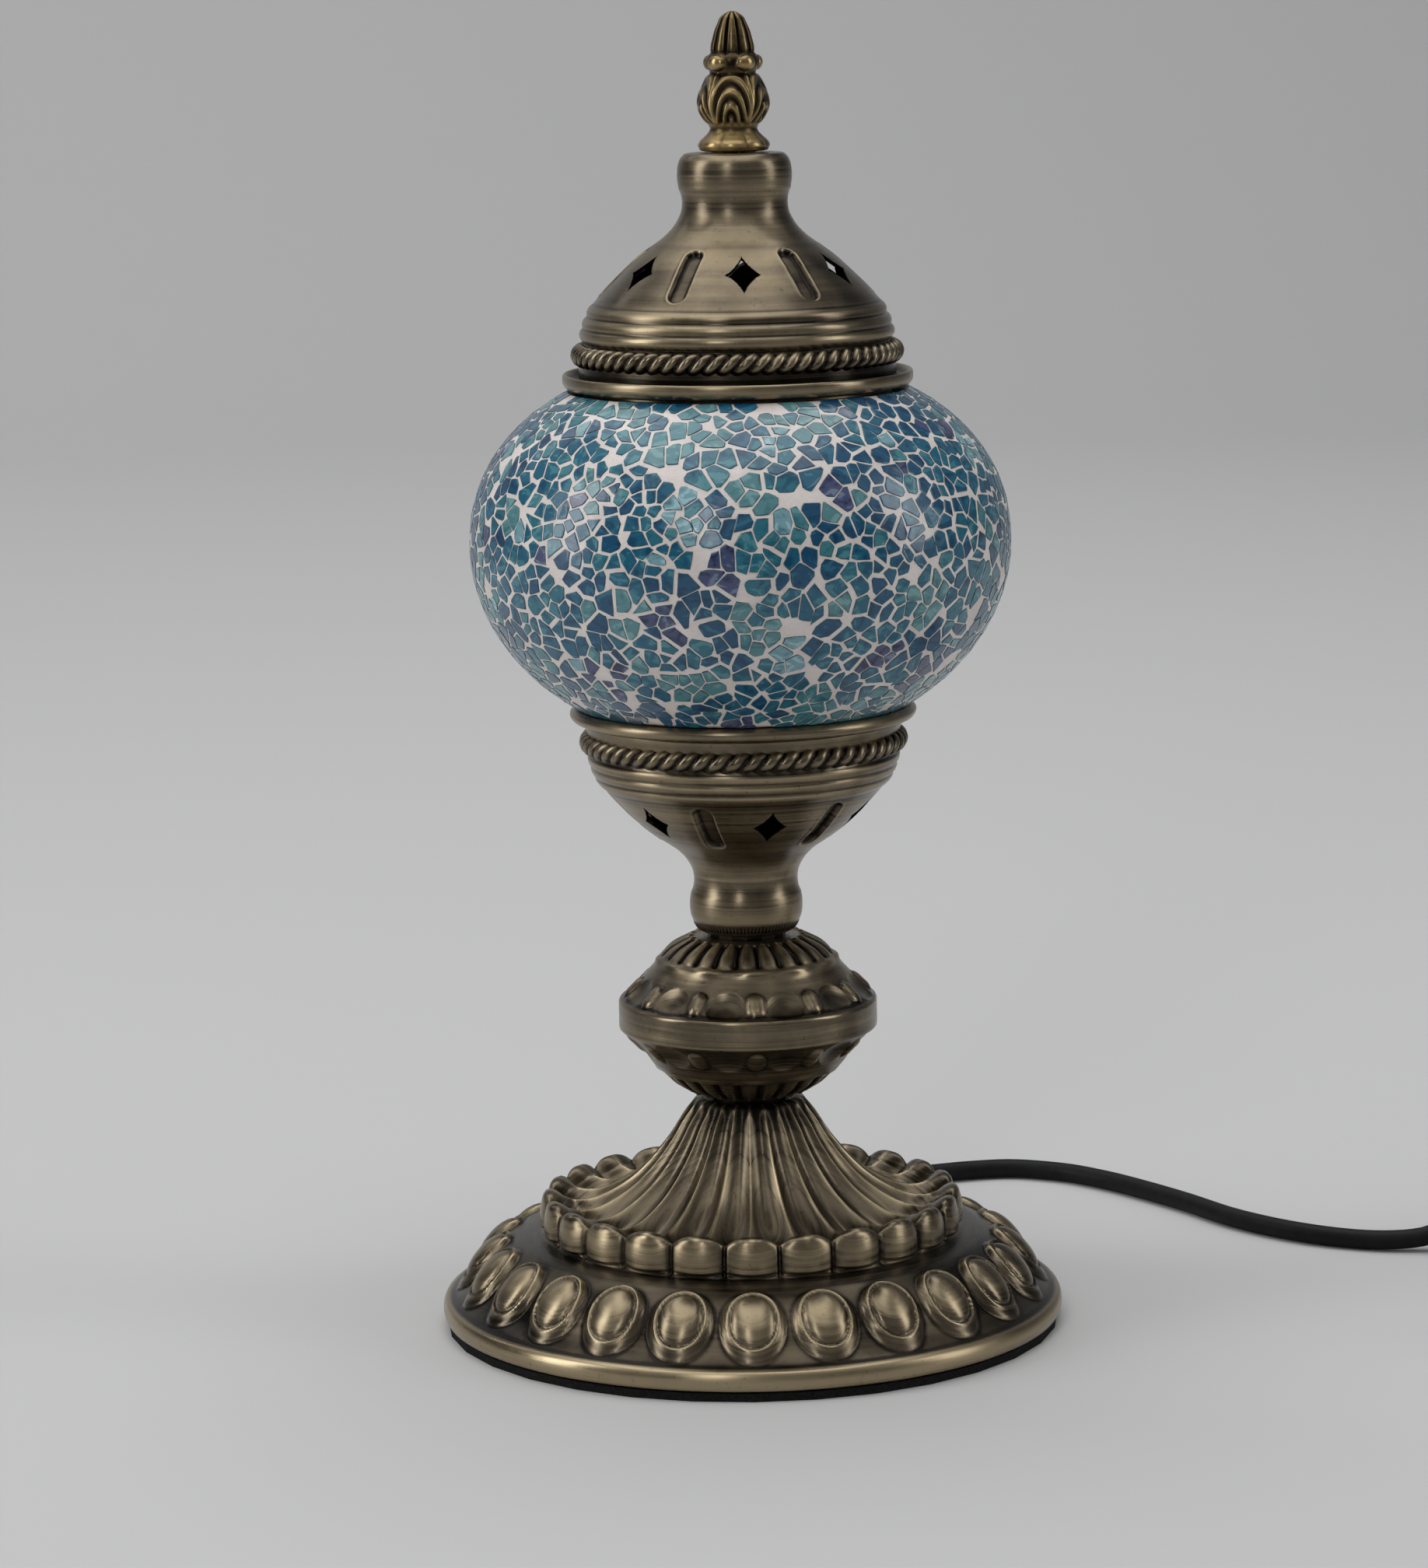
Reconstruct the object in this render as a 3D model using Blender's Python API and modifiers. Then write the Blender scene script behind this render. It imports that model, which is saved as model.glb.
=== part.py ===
"""Mosaic glass table lamp: a globe of glass chips on a turned and fluted antique brass stand.

Metres, +Z up.  The origin is the centre of the base's underside.  The front is -Y and +X is to
the right.  Profiles are (radius, height) pairs in millimetres and run down the outer side.
"""
import math

import bmesh
import bpy
from mathutils import Matrix, Vector

MM = 0.001
GAP = 0.3                       # clearance between touching pieces, mm
FRONT = math.radians(-90.0)

# globe
GLOBE_RADIUS = 65.0
GLOBE_MIDDLE = 192.0            # height of the widest circle
GLOBE_RISE = 45.3               # half height above the widest circle
GLOBE_DROP = 49.7               # half height below it
GLOBE_TOP = 229.0               # where the upper opening cuts the outside
GLOBE_FOOT = 153.0              # where the lower opening cuts the outside
MOSAIC = 2.0                    # thickness of the chips and grout
GLASS = 2.5                     # thickness of the blown glass
GLOBE_STEPS = 24

# stand
STEM_RADIUS = 4.9               # M10 x 1 threaded tube
STEM_BORE = 3.6
STEM_HOLE = 5.2                 # hole for the stem in everything threaded on it
FLUTES = 24                     # flutes of the base cone, one scallop to each
PIERCINGS = 6                   # stars around the cap and around the cup
CAP_STAR_TURN = 3.5             # degrees to the right of the front
CUP_STAR_TURN = 12.0
STAR_HALF_WIDTH = 4.2
STAR_HALF_HEIGHT = 5.2
STAR_POINTS = 12                # four tips with two points on each hollow side

# cord, all in metres
CORD_RADIUS = 0.0025
CORD_REST = 0.0027              # height of the cord's middle where it lies on the table
EXIT_TURN = 82.5                # degrees, between two ovals at the back of the base
EXIT_HEIGHT = 11.2              # mm
RELIEF_INNER = 58.0             # mm from the lamp's axis
RELIEF_OUTER = 88.0
SWITCH_MIDDLE = (0.222, 0.0525)
SWITCH_LENGTH = 60.0            # mm
SWITCH_WIDTH = 24.0
SWITCH_SPLIT = 9.0              # height of the joint between the two halves
SWITCH_HEIGHT = 18.5
ROCKER_TILT = 8.0               # degrees each side of level
ROCKER_PIVOT = 13.0             # mm above the table
COIL_MIDDLE = (0.268, 0.003)
COIL_INNER = 20.5               # mm
COIL_OUTER = 35.5
COIL_LOW = 1.7
COIL_HIGH = 16.7
PLUG_REAR = 0.2277              # x of the plug's back end
PLUG_SIDE = -0.037              # y of the plug's middle
PLUG_LENGTH = 35.0
PLUG_WIDTH = 34.0
PLUG_THICK = 13.6

LEAD_TO_SWITCH = [
    (0.01157, 0.08785, 0.0112), (0.01215, 0.0923, 0.0112), (0.0132, 0.0980, 0.0095),
    (0.0152, 0.1040, 0.0061), (0.0188, 0.1110, 0.0037), (0.0250, 0.1180, 0.0028),
    (0.0335, 0.1243, 0.0027), (0.0420, 0.1288, 0.0027), (0.0510, 0.1325, 0.0027),
    (0.0615, 0.1357, 0.0027), (0.0725, 0.1365, 0.0027), (0.0856, 0.1310, 0.0027),
    (0.0950, 0.1228, 0.0027), (0.1030, 0.1135, 0.0027), (0.1150, 0.0970, 0.0027),
    (0.1275, 0.0775, 0.0027), (0.1430, 0.0622, 0.0027), (0.1590, 0.0540, 0.0027),
    (0.1720, 0.0521, 0.0037), (0.1800, 0.0524, 0.0070), (0.1860, 0.0525, 0.0084),
    (0.1915, 0.0525, 0.0085),
]
LEAD_TO_COIL = [
    (0.2525, 0.0525, 0.0085), (0.2600, 0.0525, 0.0085), (0.2680, 0.0520, 0.0068),
    (0.2760, 0.0503, 0.0048), (0.2845, 0.0463, 0.0043), (0.2920, 0.0405, 0.0043),
    (0.2980, 0.0330, 0.0043), (0.3020, 0.0250, 0.0043), (0.3035, 0.0190, 0.0043),
]
PLUG_TAIL = [
    (0.2540, -0.0335, 0.0046), (0.2480, -0.0353, 0.0048), (0.2410, -0.0366, 0.0056),
    (0.2350, -0.0370, 0.0068), (0.2282, -0.0370, 0.0070),
]
INNER_CORD = [
    (57.7, 11.2), (49.0, 11.4), (36.0, 13.0), (23.5, 17.0), (12.0, 24.0), (4.2, 31.5),
    (0.5, 39.0), (0.0, 47.0), (0.0, 58.0), (0.0, 80.0), (0.0, 105.0), (0.0, 125.0),
    (0.0, 138.2),
]


# ---------------------------------------------------------------- scene and materials

def clear_scene():
    for thing in list(bpy.data.objects):
        bpy.data.objects.remove(thing, do_unlink=True)


def new_collection(name):
    collection = bpy.data.collections.new(name)
    bpy.context.scene.collection.children.link(collection)
    return collection


def new_material(name, colour, roughness, metallic, transmission=0.0):
    material = bpy.data.materials.new(name)
    material.use_nodes = True
    shader = material.node_tree.nodes["Principled BSDF"]
    shader.inputs["Base Color"].default_value = (*colour, 1.0)
    shader.inputs["Roughness"].default_value = roughness
    shader.inputs["Metallic"].default_value = metallic
    shader.inputs["Transmission Weight"].default_value = transmission
    material.diffuse_color = (*colour, 1.0)
    return material


LOOKS = {
    "antique_brass": ((0.30, 0.24, 0.15), 0.38, 1.0),
    "golden_brass": ((0.42, 0.32, 0.14), 0.36, 1.0),
    "bright_brass": ((0.72, 0.55, 0.25), 0.30, 1.0),
    "steel": ((0.55, 0.56, 0.57), 0.35, 1.0),
    "cast_iron": ((0.12, 0.12, 0.12), 0.65, 1.0),
    "black_foam": ((0.02, 0.02, 0.02), 0.90, 0.0),
    "black_plastic": ((0.025, 0.025, 0.027), 0.45, 0.0),
    "black_cord": ((0.02, 0.02, 0.022), 0.50, 0.0),
    "phenolic": ((0.05, 0.035, 0.03), 0.40, 0.0),
    "nickel": ((0.70, 0.69, 0.66), 0.25, 1.0),
    "globe_glass": ((0.90, 0.95, 0.95), 0.05, 0.0, 0.9),
    "bulb_glass": ((0.95, 0.96, 0.96), 0.03, 0.0, 1.0),
    "mosaic": ((0.10, 0.38, 0.46), 0.20, 0.0, 0.2),
    "tungsten": ((0.35, 0.34, 0.33), 0.40, 1.0),
}


# ---------------------------------------------------------------- modelling helpers

class Maker:
    """Puts finished pieces in one collection and cutters in another."""

    def __init__(self):
        self.parts = new_collection("mosaic_table_lamp")
        self.cutters = new_collection("cutters")

    def piece(self, name, data, look):
        thing = bpy.data.objects.new(name, data)
        self.parts.objects.link(thing)
        material = new_material(name, *LOOKS[look])
        data.materials.append(material)
        return thing

    def cutter(self, name, data):
        thing = bpy.data.objects.new(name, data)
        self.cutters.objects.link(thing)
        thing.hide_render = True
        thing.display_type = "WIRE"
        return thing


def profile_mesh(name, points, closed):
    mesh = bpy.data.meshes.new(name)
    form = bmesh.new()
    verts = [form.verts.new((radius * MM, 0.0, height * MM)) for radius, height in points]
    for first, second in zip(verts, verts[1:]):
        form.edges.new((first, second))
    if closed:
        form.edges.new((verts[-1], verts[0]))
    form.to_mesh(mesh)
    form.free()
    return mesh


def add_screw(thing, steps):
    screw = thing.modifiers.new("turn", "SCREW")
    screw.axis = "Z"
    screw.angle = math.tau
    screw.steps = steps
    screw.render_steps = steps
    screw.use_merge_vertices = True
    screw.merge_threshold = 0.00001
    screw.use_smooth_shade = True


def add_wall(thing, wall):
    solid = thing.modifiers.new("wall", "SOLIDIFY")
    solid.thickness = wall * MM
    solid.offset = -1.0
    solid.use_rim = True


def turned(maker, name, points, look, steps=16, wall=None, closed=False):
    """A turned piece: solid when its profile is closed or ends on the axis, else a wall."""
    thing = maker.piece(name, profile_mesh(name, points, closed), look)
    add_screw(thing, steps)
    if wall:
        add_wall(thing, wall)
    return thing


def ring(maker, name, inner, outer, low, high, look, steps=16):
    """A washer, disc or sleeve with square edges."""
    if inner > 0:
        points = [(outer, high), (outer, low), (inner, low), (inner, high)]
        return turned(maker, name, points, look, steps, closed=True)
    return turned(maker, name, [(0.0, high), (outer, high), (outer, low), (0.0, low)], look, steps)


def freeze(thing):
    """Replace an object's data by its evaluated, welded mesh and drop its modifiers."""
    graph = bpy.context.evaluated_depsgraph_get()
    mesh = bpy.data.meshes.new_from_object(thing.evaluated_get(graph))
    form = bmesh.new()
    form.from_mesh(mesh)
    bmesh.ops.remove_doubles(form, verts=form.verts, dist=0.000001)
    form.to_mesh(mesh)
    form.free()
    return mesh


def outline_mesh(name, outlines, half_thickness):
    """Flat outlines, holes included, extruded both ways; the curve is removed afterwards."""
    curve = bpy.data.curves.new(name + "_outline", "CURVE")
    curve.dimensions = "2D"
    curve.fill_mode = "BOTH"
    curve.extrude = half_thickness * MM
    for outline in outlines:
        spline = curve.splines.new("POLY")
        spline.points.add(len(outline) - 1)
        for point, (across, along) in zip(spline.points, outline):
            point.co = (across * MM, along * MM, 0.0, 1.0)
        spline.use_cyclic_u = True
    thing = bpy.data.objects.new(name + "_outline", curve)
    bpy.context.scene.collection.objects.link(thing)
    mesh = freeze(thing)
    mesh.name = name
    bpy.data.objects.remove(thing, do_unlink=True)
    return mesh


def circle(radius, count, turn=0.0):
    return [
        (radius * math.cos(turn + math.tau * k / count), radius * math.sin(turn + math.tau * k / count))
        for k in range(count)
    ]


def hex_nut(maker, name, across_flats, hole, low, high, look):
    corner_radius = across_flats / math.sqrt(3.0)
    outlines = [circle(corner_radius, 6), circle(hole, 16)]
    thing = maker.piece(name, outline_mesh(name, outlines, (high - low) / 2), look)
    thing.location = (0.0, 0.0, (low + high) / 2 * MM)
    return thing


def box_mesh(name, low, high):
    """A box between two corners, in millimetres."""
    size = [(b - a) * MM for a, b in zip(low, high)]
    middle = [(a + b) / 2 * MM for a, b in zip(low, high)]
    mesh = bpy.data.meshes.new(name)
    form = bmesh.new()
    bmesh.ops.create_cube(form, size=1.0, matrix=Matrix.LocRotScale(middle, None, size))
    form.to_mesh(mesh)
    form.free()
    return mesh


def add_bevel(thing, width, segments=2):
    bevel = thing.modifiers.new("edges", "BEVEL")
    bevel.width = width * MM
    bevel.segments = segments
    bevel.limit_method = "ANGLE"
    bevel.angle_limit = math.radians(40.0)


def cut(thing, cutter):
    boolean = thing.modifiers.new("cut", "BOOLEAN")
    boolean.operation = "DIFFERENCE"
    boolean.solver = "EXACT"
    boolean.object = cutter


def smooth_route(points, spacing):
    """Evenly spaced points on a Catmull-Rom curve through the route's own points."""
    route = [Vector(point) for point in points]
    route = [route[0] * 2 - route[1], *route, route[-1] * 2 - route[-2]]
    fine = []
    for p0, p1, p2, p3 in zip(route, route[1:], route[2:], route[3:]):
        for step in range(20):
            t = step / 20
            bend = 2 * p0 - 5 * p1 + 4 * p2 - p3
            twist = 3 * p1 - p0 - 3 * p2 + p3
            fine.append(0.5 * (2 * p1 + (p2 - p0) * t + bend * t * t + twist * t ** 3))
    fine.append(route[-2])
    length = sum((b - a).length for a, b in zip(fine, fine[1:]))
    count = max(3, round(length / spacing))
    even = [fine[0]]
    walked = 0.0
    for first, second in zip(fine, fine[1:]):
        run = (second - first).length
        while len(even) < count and walked + run >= length * len(even) / count:
            part = (length * len(even) / count - walked) / run
            even.append(first.lerp(second, part))
        walked += run
    even.append(fine[-1])
    return even


def tube(maker, name, points, radius, look, spacing=0.0125):
    """A cord or wire: one beveled line with filled ends."""
    curve = bpy.data.curves.new(name, "CURVE")
    curve.dimensions = "3D"
    curve.bevel_depth = radius
    curve.bevel_resolution = 2
    curve.use_fill_caps = True
    route = smooth_route(points, spacing)
    spline = curve.splines.new("POLY")
    spline.points.add(len(route) - 1)
    for point, place in zip(spline.points, route):
        point.co = (*place, 1.0)
    return maker.piece(name, curve, look)


# ---------------------------------------------------------------- base

SHELL_PROFILE = [
    (5.4, 55.6), (12.4, 55.6), (14.6, 53.4), (18.6, 47.0), (24.5, 39.0), (33.0, 32.0),
    (43.0, 28.8), (49.8, 31.4), (51.6, 27.2), (51.2, 23.6), (60.0, 22.4), (66.8, 17.0),
    (71.0, 10.4), (75.3, 7.2), (76.0, 5.0), (75.4, 2.4),
]
SHELL_STEPS = 2 * FLUTES
SHELL_WALL = 1.2


def flute_depth(radius, height):
    """How far ridge and hollow stand from the plain turned surface, mm."""
    if height < 24.5 or radius < 13.0 or radius > 53.0:
        return 0.0
    return 0.35 + 0.7 * (radius - 13.0) / 38.0


def make_base_shell(maker):
    name = "base_shell"
    shell = turned(maker, name, SHELL_PROFILE, "antique_brass", SHELL_STEPS)
    mesh = freeze(shell)
    for vert in mesh.vertices:
        radius = math.hypot(vert.co.x, vert.co.y) / MM
        height = vert.co.z / MM
        wave = flute_depth(radius, height) * math.cos(FLUTES * math.atan2(vert.co.y, vert.co.x))
        lean = 1.0 if radius > 50.5 else 0.5
        stretch = 1.0 + lean * wave / max(radius, 1.0)
        lift = (1.0 - lean) * wave
        vert.co = (vert.co.x * stretch, vert.co.y * stretch, vert.co.z + lift * MM)
    shell.modifiers.clear()
    shell.data = mesh
    add_wall(shell, SHELL_WALL)
    hole = bpy.data.meshes.new("cord_hole")
    form = bmesh.new()
    bmesh.ops.create_cone(
        form, segments=20, cap_ends=True, radius1=3.9 * MM, radius2=3.9 * MM, depth=24.0 * MM
    )
    form.to_mesh(hole)
    form.free()
    cutter = maker.cutter("cord_hole", hole)
    cutter.matrix_world = exit_matrix(74.0)
    cut(shell, cutter)


def exit_matrix(distance):
    """Local +Z points out along the cord's exit, at this distance from the lamp's axis, mm."""
    turn = math.radians(EXIT_TURN)
    place = Vector((math.cos(turn) * distance * MM, math.sin(turn) * distance * MM, EXIT_HEIGHT * MM))
    return Matrix.Translation(place) @ Matrix.Rotation(turn, 4, "Z") @ Matrix.Rotation(math.pi / 2, 4, "Y")


def make_strain_relief(maker):
    length = RELIEF_OUTER - RELIEF_INNER
    profile = [
        (0.0, length), (2.9, length), (3.4, length - 14.0), (3.5, 4.5), (5.4, 4.5), (5.4, 2.5),
        (3.5, 2.5), (3.5, 0.0), (0.0, 0.0),
    ]
    relief = turned(maker, "cord_strain_relief", profile, "black_plastic", 16)
    relief.matrix_world = exit_matrix(RELIEF_INNER)


def make_base(maker):
    ring(maker, "base_pad", 9.0, 75.0, 0.0, 2.0, "black_foam", 32)
    ring(maker, "base_weight", 9.0, 73.6, 2.4, 5.6, "cast_iron", 32)
    make_base_shell(maker)
    make_strain_relief(maker)
    ring(maker, "stem_washer", STEM_HOLE, 10.0, 52.9, 54.1, "steel")
    hex_nut(maker, "stem_nut", 14.0, STEM_HOLE, 48.4, 52.6, "steel")
    ring(maker, "stem_tube", STEM_BORE, STEM_RADIUS, 42.0, 122.0, "steel")
    ring(maker, "lower_spacer", STEM_HOLE, 9.5, 55.9, 56.8, "antique_brass")


# ---------------------------------------------------------------- baluster and cup

BALUSTER_UPPER = [
    (5.4, 95.8), (12.0, 95.8), (15.0, 95.0), (18.4, 93.4), (21.8, 90.3), (26.0, 85.4),
    (31.0, 80.8), (31.5, 80.0), (31.5, 73.4),
]
BALUSTER_LOWER = [
    (30.2, 78.5), (30.2, 73.4), (31.0, 73.0), (27.0, 69.4), (24.3, 66.0), (19.6, 61.5),
    (16.0, 58.8), (11.6, 57.1), (5.4, 57.1),
]
CUP_PROFILE = [
    (39.0, 149.4), (39.8, 146.4), (39.6, 143.8), (37.4, 140.9), (36.3, 136.9), (33.5, 132.3),
    (28.4, 126.9), (22.6, 121.7), (17.2, 118.0), (13.9, 114.5), (12.6, 110.6),
    (13.6, 105.0), (13.3, 100.8), (11.4, 97.6), (5.4, 97.6),
]
CAP_PROFILE = [
    (2.1, 285.0), (11.0, 285.0), (13.2, 283.0), (13.7, 279.4), (12.6, 273.8), (14.3, 268.4),
    (19.6, 263.6), (26.0, 258.4), (30.9, 253.4), (35.6, 248.5), (37.6, 242.4), (39.8, 238.6),
    (38.6, 234.0),
]
CUP_STAR = (28.4, 126.9, -0.72)   # radius, height and upward lean of the outward normal
CAP_STAR = (26.0, 258.4, 0.72)


def star_outline():
    """A diamond with four points and slightly hollow sides."""
    power = 2.0 / 0.78
    points = []
    for k in range(STAR_POINTS):
        angle = math.tau * k / STAR_POINTS
        across = math.copysign(abs(math.cos(angle)) ** power, math.cos(angle))
        along = math.copysign(abs(math.sin(angle)) ** power, math.sin(angle))
        points.append((STAR_HALF_WIDTH * across, STAR_HALF_HEIGHT * along))
    return points


def star_cutter(maker, name, place, first_turn):
    """Stars around the axis, each square to the wall it goes through."""
    radius, height, lean = place
    single = outline_mesh(name + "_one", [star_outline()], 5.0)
    form = bmesh.new()
    for k in range(PIERCINGS):
        turn = FRONT + math.radians(first_turn) + math.tau * k / PIERCINGS
        normal = Vector((math.sqrt(1.0 - lean * lean), 0.0, lean))
        across = Vector((0.0, 1.0, 0.0))
        along = normal.cross(across)
        local = Matrix((across, along, normal)).transposed().to_4x4()
        local.translation = Vector((radius * MM, 0.0, height * MM))
        copy = single.copy()
        copy.transform(Matrix.Rotation(turn, 4, "Z") @ local)
        form.from_mesh(copy)
    mesh = bpy.data.meshes.new(name)
    bmesh.ops.recalc_face_normals(form, faces=form.faces)
    form.to_mesh(mesh)
    form.free()
    return maker.cutter(name, mesh)


def make_stand(maker):
    turned(maker, "baluster_lower", BALUSTER_LOWER, "antique_brass", 24, wall=0.8)
    turned(maker, "baluster_upper", BALUSTER_UPPER, "antique_brass", 24, wall=0.8)
    ring(maker, "upper_spacer", STEM_HOLE, 9.5, 96.1, 97.3, "antique_brass")
    cup = turned(maker, "holder_cup", CUP_PROFILE, "antique_brass", 24, wall=0.9)
    cut(cup, star_cutter(maker, "cup_stars", CUP_STAR, CUP_STAR_TURN))
    ring(maker, "cup_washer", STEM_HOLE, 9.4, 98.9, 99.9, "steel")
    hex_nut(maker, "cup_nut", 14.0, STEM_HOLE, 100.2, 104.4, "steel")


# ---------------------------------------------------------------- lampholder and bulb

HOLDER_RADIUS = 13.6
BULB_RADIUS = 22.5
BULB_MIDDLE = 198.5
BULB_NECK = 8.2


def make_lampholder(maker):
    entry = [(HOLDER_RADIUS, 133.0), (HOLDER_RADIUS, 121.5), (12.0, 118.7), (5.4, 118.4)]
    turned(maker, "lampholder_entry_cap", entry, "phenolic", 20, wall=1.3)
    ring(maker, "lampholder_sleeve", 12.4, HOLDER_RADIUS, 133.3, 168.0, "phenolic", 20)
    ring(maker, "lampholder_insulator", 0.0, 12.1, 138.5, 144.5, "phenolic")
    ring(maker, "lampholder_screw_shell", 7.35, 7.8, 144.8, 166.0, "bright_brass")
    mesh = box_mesh("lampholder_contact", (-4.0, -1.5, 144.9), (4.0, 1.5, 145.6))
    contact = maker.piece("lampholder_contact", mesh, "bright_brass")
    add_bevel(contact, 0.2)


def bulb_outline():
    """Down the outside: an arc from the crown, then a cone into the neck."""
    points = [(0.0, BULB_MIDDLE + BULB_RADIUS)]
    for k in range(1, 8):
        angle = math.radians(90.0 - 20.0 * k)
        points.append((BULB_RADIUS * math.cos(angle), BULB_MIDDLE + BULB_RADIUS * math.sin(angle)))
    points.append((BULB_NECK, 177.0))
    points.append((BULB_NECK - 0.3, 172.6))
    return points


def make_bulb(maker):
    contact = [(0.0, 148.4), (2.6, 148.4), (2.2, 146.6), (0.0, 146.0)]
    turned(maker, "bulb_contact", contact, "nickel", 16)
    insulator = [(0.0, 151.6), (6.2, 151.6), (3.2, 148.7), (0.0, 148.7)]
    turned(maker, "bulb_insulator", insulator, "phenolic", 16)
    ring(maker, "bulb_screw_cap", 6.35, 6.85, 151.9, 172.3, "nickel")
    turned(maker, "bulb_glass", bulb_outline(), "bulb_glass", 20, wall=0.7)
    filament = [
        (-0.0025, 0.0, 0.1745), (-0.0040, 0.0, 0.185), (-0.0075, 0.0, 0.197), (-0.0040, 0.0, 0.201),
        (0.0, 0.0, 0.1995), (0.0040, 0.0, 0.201), (0.0075, 0.0, 0.197), (0.0040, 0.0, 0.185),
        (0.0025, 0.0, 0.1745),
    ]
    tube(maker, "bulb_filament", filament, 0.0004, "tungsten", spacing=0.004)


# ---------------------------------------------------------------- globe and cap

def globe_outline(inset, count):
    """The globe's outside, flatter above than below, set in along its normals."""
    def radius_at(height):
        rise = height - GLOBE_MIDDLE
        half, power = (GLOBE_RISE, 2.2) if rise > 0 else (GLOBE_DROP, 2.0)
        return GLOBE_RADIUS * (1.0 - (abs(rise) / half) ** power) ** (1.0 / power)

    points = []
    for k in range(count + 1):
        swing = -math.cos(math.pi * k / count)
        height = GLOBE_MIDDLE - swing * (GLOBE_MIDDLE - GLOBE_FOOT if swing > 0 else GLOBE_TOP - GLOBE_MIDDLE)
        slope = (radius_at(height + 0.05) - radius_at(height - 0.05)) / 0.1
        scale = inset / math.hypot(1.0, slope)
        points.append((radius_at(height) - scale, height + slope * scale))
    return points


LOWER_RING = [
    (36.9, 158.0), (36.9, 152.6), (40.7, 152.6), (41.8, 151.2), (40.7, 149.8), (35.0, 149.8),
    (35.0, 158.0),
]
UPPER_RING = [
    (38.8, 233.7), (40.9, 233.2), (42.0, 231.6), (41.0, 229.9), (36.9, 229.6), (36.9, 224.6),
    (35.0, 224.6), (35.0, 233.7),
]
FINIAL_PROFILE = [
    (0.0, 319.0), (3.0, 317.2), (4.6, 313.2), (5.3, 309.4), (6.7, 307.4), (6.6, 306.0),
    (5.9, 304.6), (7.6, 301.2), (8.6, 297.8), (7.8, 295.0), (5.7, 291.9), (8.0, 288.4),
    (8.4, 287.3), (7.7, 286.2), (2.0, 286.2), (2.0, 295.0), (0.0, 295.0),
]


def make_globe(maker):
    turned(maker, "lower_gallery_ring", LOWER_RING, "antique_brass", 24, closed=True)
    glass = globe_outline(MOSAIC + GAP, 8)
    turned(maker, "globe_glass", glass, "globe_glass", GLOBE_STEPS, wall=GLASS)
    turned(maker, "globe_mosaic", globe_outline(0.0, 8), "mosaic", GLOBE_STEPS, wall=MOSAIC)


def make_cap(maker):
    turned(maker, "upper_gallery_ring", UPPER_RING, "antique_brass", 24, closed=True)
    cap = turned(maker, "top_cap", CAP_PROFILE, "antique_brass", 24, wall=0.9)
    cut(cap, star_cutter(maker, "cap_stars", CAP_STAR, CAP_STAR_TURN))
    ring(maker, "finial_spacer", 2.0, 5.5, 285.3, 285.9, "golden_brass", 18)
    turned(maker, "finial", FINIAL_PROFILE, "golden_brass", 16)
    ring(maker, "finial_stud", 0.0, 1.7, 278.6, 294.6, "steel", 12)
    ring(maker, "finial_washer", 2.0, 4.6, 282.9, 283.8, "steel", 18)
    hex_nut(maker, "finial_nut", 7.0, 2.0, 279.6, 282.6, "steel")


# ---------------------------------------------------------------- cord, switch and plug

def in_exit_plane(distance, height):
    turn = math.radians(EXIT_TURN)
    return (math.cos(turn) * distance * MM, math.sin(turn) * distance * MM, height * MM)


def make_cords(maker):
    inner = [in_exit_plane(distance, height) for distance, height in INNER_CORD]
    tube(maker, "inner_cord", inner, CORD_RADIUS, "black_cord", spacing=0.008)
    tube(maker, "lead_to_switch", LEAD_TO_SWITCH, CORD_RADIUS, "black_cord", spacing=0.0085)
    tube(maker, "lead_to_coil", LEAD_TO_COIL, CORD_RADIUS, "black_cord", spacing=0.0085)
    tube(maker, "plug_tail", PLUG_TAIL, CORD_RADIUS, "black_cord", spacing=0.008)


def make_coil(maker):
    edge = 3.0
    profile = [
        (COIL_OUTER - edge, COIL_HIGH), (COIL_OUTER, COIL_HIGH - edge), (COIL_OUTER, COIL_LOW + edge),
        (COIL_OUTER - edge, COIL_LOW), (COIL_INNER + edge, COIL_LOW), (COIL_INNER, COIL_LOW + edge),
        (COIL_INNER, COIL_HIGH - edge), (COIL_INNER + edge, COIL_HIGH),
    ]
    coil = turned(maker, "cord_coil", profile, "black_cord", 24, closed=True)
    coil.location = (*COIL_MIDDLE, 0.0)
    half = (COIL_OUTER - COIL_INNER) / 2 + 2 * GAP
    thick = 1.0
    wide = half + thick
    outer = [(-wide, -wide), (wide, -wide), (wide, wide), (-wide, wide)]
    inner = [(-half, -half), (half, -half), (half, half), (-half, half)]
    tie = maker.piece("coil_tie", outline_mesh("coil_tie", [outer, inner], 3.0), "black_plastic")
    turn = math.radians(135.0)
    reach = (COIL_INNER + COIL_OUTER) / 2 * MM
    height = (COIL_LOW + COIL_HIGH) / 2 * MM
    place = Matrix.Translation((
        COIL_MIDDLE[0] + math.cos(turn) * reach,
        COIL_MIDDLE[1] + math.sin(turn) * reach,
        height,
    ))
    tie.matrix_world = place @ Matrix.Rotation(turn, 4, "Z") @ Matrix.Rotation(math.pi / 2, 4, "X")


def rocker_outline():
    return [
        (-10.2, 5.2), (-10.4, 1.0), (-6.0, -3.2), (6.0, -3.2), (10.4, 1.0), (10.2, 5.2),
        (5.0, 4.0), (0.0, 3.6), (-5.0, 4.0),
    ]


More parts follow.
